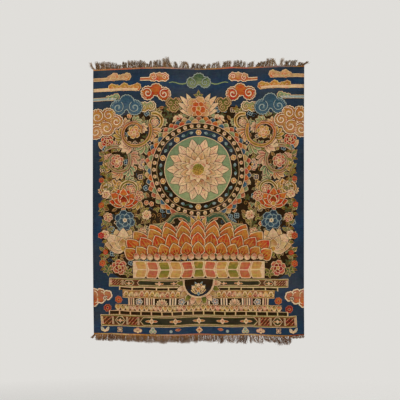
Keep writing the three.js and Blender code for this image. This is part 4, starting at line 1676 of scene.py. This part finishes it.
def fringeRoots(fringe, down, draw):
    # Where each thread leaves the cloth, and how it reaches. Draw is the source of chance.
    outward = 1 if down == 0 else -1
    left = between(hanging["selvedges"], "down", "left", down)
    right = between(hanging["selvedges"], "down", "right", down)
    inset, sunk = warpEnd["inset"], warpEnd["inside"]
    roots = []

    def add(across, reach, bow, tone, curl=0.0, phase=0.0):
        across = min(max(across, left + inset), right - inset)
        start = hung((across - left) / (right - left), down)
        start[1] += draw.uniform(-chance["rootDepth"], chance["rootDepth"]) * mm
        start[2] -= outward * sunk * mm
        roots.append({
            "root": tuple(start),
            "reach": (reach[0] * mm, -reach[1] * mm, outward * (reach[2] + sunk) * mm),
            "bow": (bow[0] * mm, bow[1] * mm, 0),
            "tone": min(max(tone, 0), 1),
            "lot": draw.uniform(0, 2),
            "curl": curl * mm,
            "phase": phase,
        })

    for tuft in fringe["tufts"]:
        pitch = (tuft["to"] - tuft["from"]) / tuft["locks"]
        for lock in range(tuft["locks"]):
            middle = tuft["from"] + pitch * (lock + 0.5) + draw.gauss(0, chance["lockPlace"]) * pitch
            length = tuft["length"] * draw.uniform(*chance["lockLength"])
            lockTone = tuft["tone"] + draw.gauss(0, chance["lockTone"])
            lockBow = [draw.gauss(0, error) for error in chance["lockBow"]]
            lockPhase = draw.uniform(0, 2 * math.pi)
            for thread in range(round(tuft["dense"] * pitch)):
                stray = draw.random() < fringe["strays"]
                loose = chance["strayLoose" if stray else "loose"]
                aside = draw.uniform(-chance["aside"], chance["aside"]) * pitch
                drawn = 0 if stray else tuft["drawn"]
                lean = -aside * drawn + tuft["lean"] + draw.gauss(0, loose)
                forward = tuft["forward"] + draw.gauss(0, loose * chance["looseForward"])
                share = draw.uniform(*chance["strayLength" if stray else "length"])
                reach = (lean, forward, length * share ** chance["evenness"])
                bow = [middling + draw.gauss(0, error) for middling, error in zip(lockBow, chance["bow"])]
                curl = tuft["curl"] * draw.uniform(*chance["curl"])
                tone = lockTone + draw.gauss(0, chance["tone"])
                phase = lockPhase + draw.gauss(0, chance["phase"])
                add(middle + aside, reach, bow, tone, curl, phase)
    for thread in range(fringe["fuzz"]):      # short fuzz all along the last weft
        lean, forward = draw.gauss(0, chance["fuzzLean"]), draw.gauss(0.5, chance["fuzzForward"])
        reach = (lean, forward, draw.uniform(*chance["fuzzLength"]))
        across = draw.uniform(left + 2 * inset, right - 2 * inset)
        add(across, reach, (draw.gauss(0, chance["fuzzBow"]), 0), draw.random())
    return roots


def makeFringe(name, fringe, down, tree, seed):
    # Down is 0 for the top edge of the cloth and 1 for the bottom one.
    roots = fringeRoots(fringe, down, random.Random(seed))
    piece = grow(name, tree, roots, {
        "Thread Radius": warpEnd["radius"] * mm,
        "Thinning": warpEnd["thinning"],
        "Steps": warpEnd["steps"],
        "Sides": warpEnd["sides"],
        "Waves": fringe["waves"],
        "Wander": warpEnd["wander"] * mm,
        "Wander Size": warpEnd["wanderSize"] * mm,
        "Seed": float(seed),
        "Silk": threadSilk(name + "Silk", fringe["colours"], fringe["tipColour"], fringe["tipShare"]),
    })
    triangles = sum(len(face.vertices) - 2 for face in piece.data.polygons)
    print(name + ":", len(roots), "threads,", triangles, "triangles")
    return piece


# The room, in metres and watts. The cloth's top edge is at the origin, and it hangs below.
studio = {
    "paper": (224, 222, 218),        # the floor, and what is seen beyond it
    "floorBelow": 1.7,
    "floorFade": (1.2, 3.4),         # the floor fades away between these distances
    "floorRoughness": 0.95,
    "floorSpecular": 0.1,
    "key": {"at": (-2.6, -3.4, 1.3), "size": 2.2, "watts": 71},
    "fill": {"at": (2.9, -3.2, 0.2), "size": 2.6, "watts": 36},
    "top": {"at": (0.2, -0.7, 1.9), "size": 1.6, "watts": 10},
    "rear": {"at": (1.7, 3.3, 0.9), "size": 2.4, "watts": 70},
    "sky": 0.32,
}
camera = {"lens": 100.0, "sensor": 36.0, "viewHeight": 1.5172, "aim": (0.0057, 0.0, -0.4984), "farEnd": 50}


def makeFloor():
    # It has no edge to see, and nothing stands behind the cloth, so its back shows too.
    near, far = studio["floorFade"]
    centre = (0, 0, -studio["floorBelow"])
    corners = [(x * far, y * far, centre[2]) for x, y in ((-1, -1), (1, -1), (1, 1), (-1, 1))]
    mesh = bpy.data.meshes.new("floor")
    mesh.from_pydata(corners, [], [(0, 1, 2, 3)])
    paper = bpy.data.materials.new("floorPaper")
    paper.use_nodes = True
    tree = paper.node_tree
    shader = tree.nodes["Principled BSDF"].inputs
    shader["Base Color"].default_value = linear(studio["paper"]) + [1]
    shader["Roughness"].default_value = studio["floorRoughness"]
    shader["Specular IOR Level"].default_value = studio["floorSpecular"]
    at = addNode(tree, "ShaderNodeTexCoord").outputs["Object"]
    away = addNode(tree, "ShaderNodeVectorMath", {0: at, 1: centre}, operation="DISTANCE").outputs["Value"]
    tree.links.new(ranged(tree, away, near, far, 1, 0), shader["Alpha"])
    mesh.materials.append(paper)
    floor = newObject("floor", mesh)


def makeLamp(name, lamp, aim):
    light = bpy.data.lights.new(name, "AREA")
    light.shape = "SQUARE"
    light.size = lamp["size"]
    light.energy = lamp["watts"]
    holder = newObject(name, light)
    holder.location = lamp["at"]
    holder.rotation_euler = (Vector(aim) - holder.location).to_track_quat("-Z", "Y").to_euler()


def makeLight():
    for name in ("key", "fill", "top", "rear"):
        makeLamp(name + "Lamp", studio[name], camera["aim"])
    world = bpy.data.worlds.new("studioWorld")
    world.use_nodes = True
    tree = world.node_tree
    light = tree.nodes["Background"]
    light.inputs["Color"].default_value = (1, 1, 1, 1)
    light.inputs["Strength"].default_value = studio["sky"]
    paper = addNode(tree, "ShaderNodeBackground", {"Color": linear(studio["paper"]) + [1]})
    rays = addNode(tree, "ShaderNodeLightPath").outputs
    seen = rays["Is Camera Ray"]
    for kind in ("Is Glossy Ray", "Is Transmission Ray"):
        seen = calculated(tree, "MAXIMUM", seen, rays[kind])
    both = {0: seen, 1: light.outputs["Background"], 2: paper.outputs["Background"]}
    mixed = addNode(tree, "ShaderNodeMixShader", both)
    tree.links.new(mixed.outputs["Shader"], tree.nodes["World Output"].inputs["Surface"])
    bpy.context.scene.world = world
    bpy.context.scene.view_settings.view_transform = "Standard"


def makeCamera():
    lens = bpy.data.cameras.new("camera")
    lens.lens = camera["lens"]
    lens.sensor_width = camera["sensor"]
    lens.clip_end = camera["farEnd"]
    away = camera["viewHeight"] * camera["lens"] / camera["sensor"]
    holder = newObject("camera", lens)
    aim = Vector(camera["aim"])
    holder.location = aim - Vector((0, away, 0))
    holder.rotation_euler = (math.pi / 2, 0, 0)
    bpy.context.scene.camera = holder


makeCamera()
makeFloor()
makeLight()
print("floor, lamps and camera are set")

drawCartoon()
wovenPanel = weavePanel()
wovenPanel.data.materials.append(tapestrySilk())
warpEnds = threadTree()
topWarpEnds = makeFringe("topWarpEnds", topFringe, 0, warpEnds, seeds["topFringe"])
bottomWarpEnds = makeFringe("bottomWarpEnds", bottomFringe, 1, warpEnds, seeds["bottomFringe"])

pieces = {
    wovenPanel: ("woven_panel", "woven_silk"),
    topWarpEnds: ("top_fringe", "top_warp_ends"),
    bottomWarpEnds: ("bottom_fringe", "bottom_warp_ends"),
}
for piece, (node, slot) in pieces.items():
    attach(piece, "root")
    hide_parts(node)
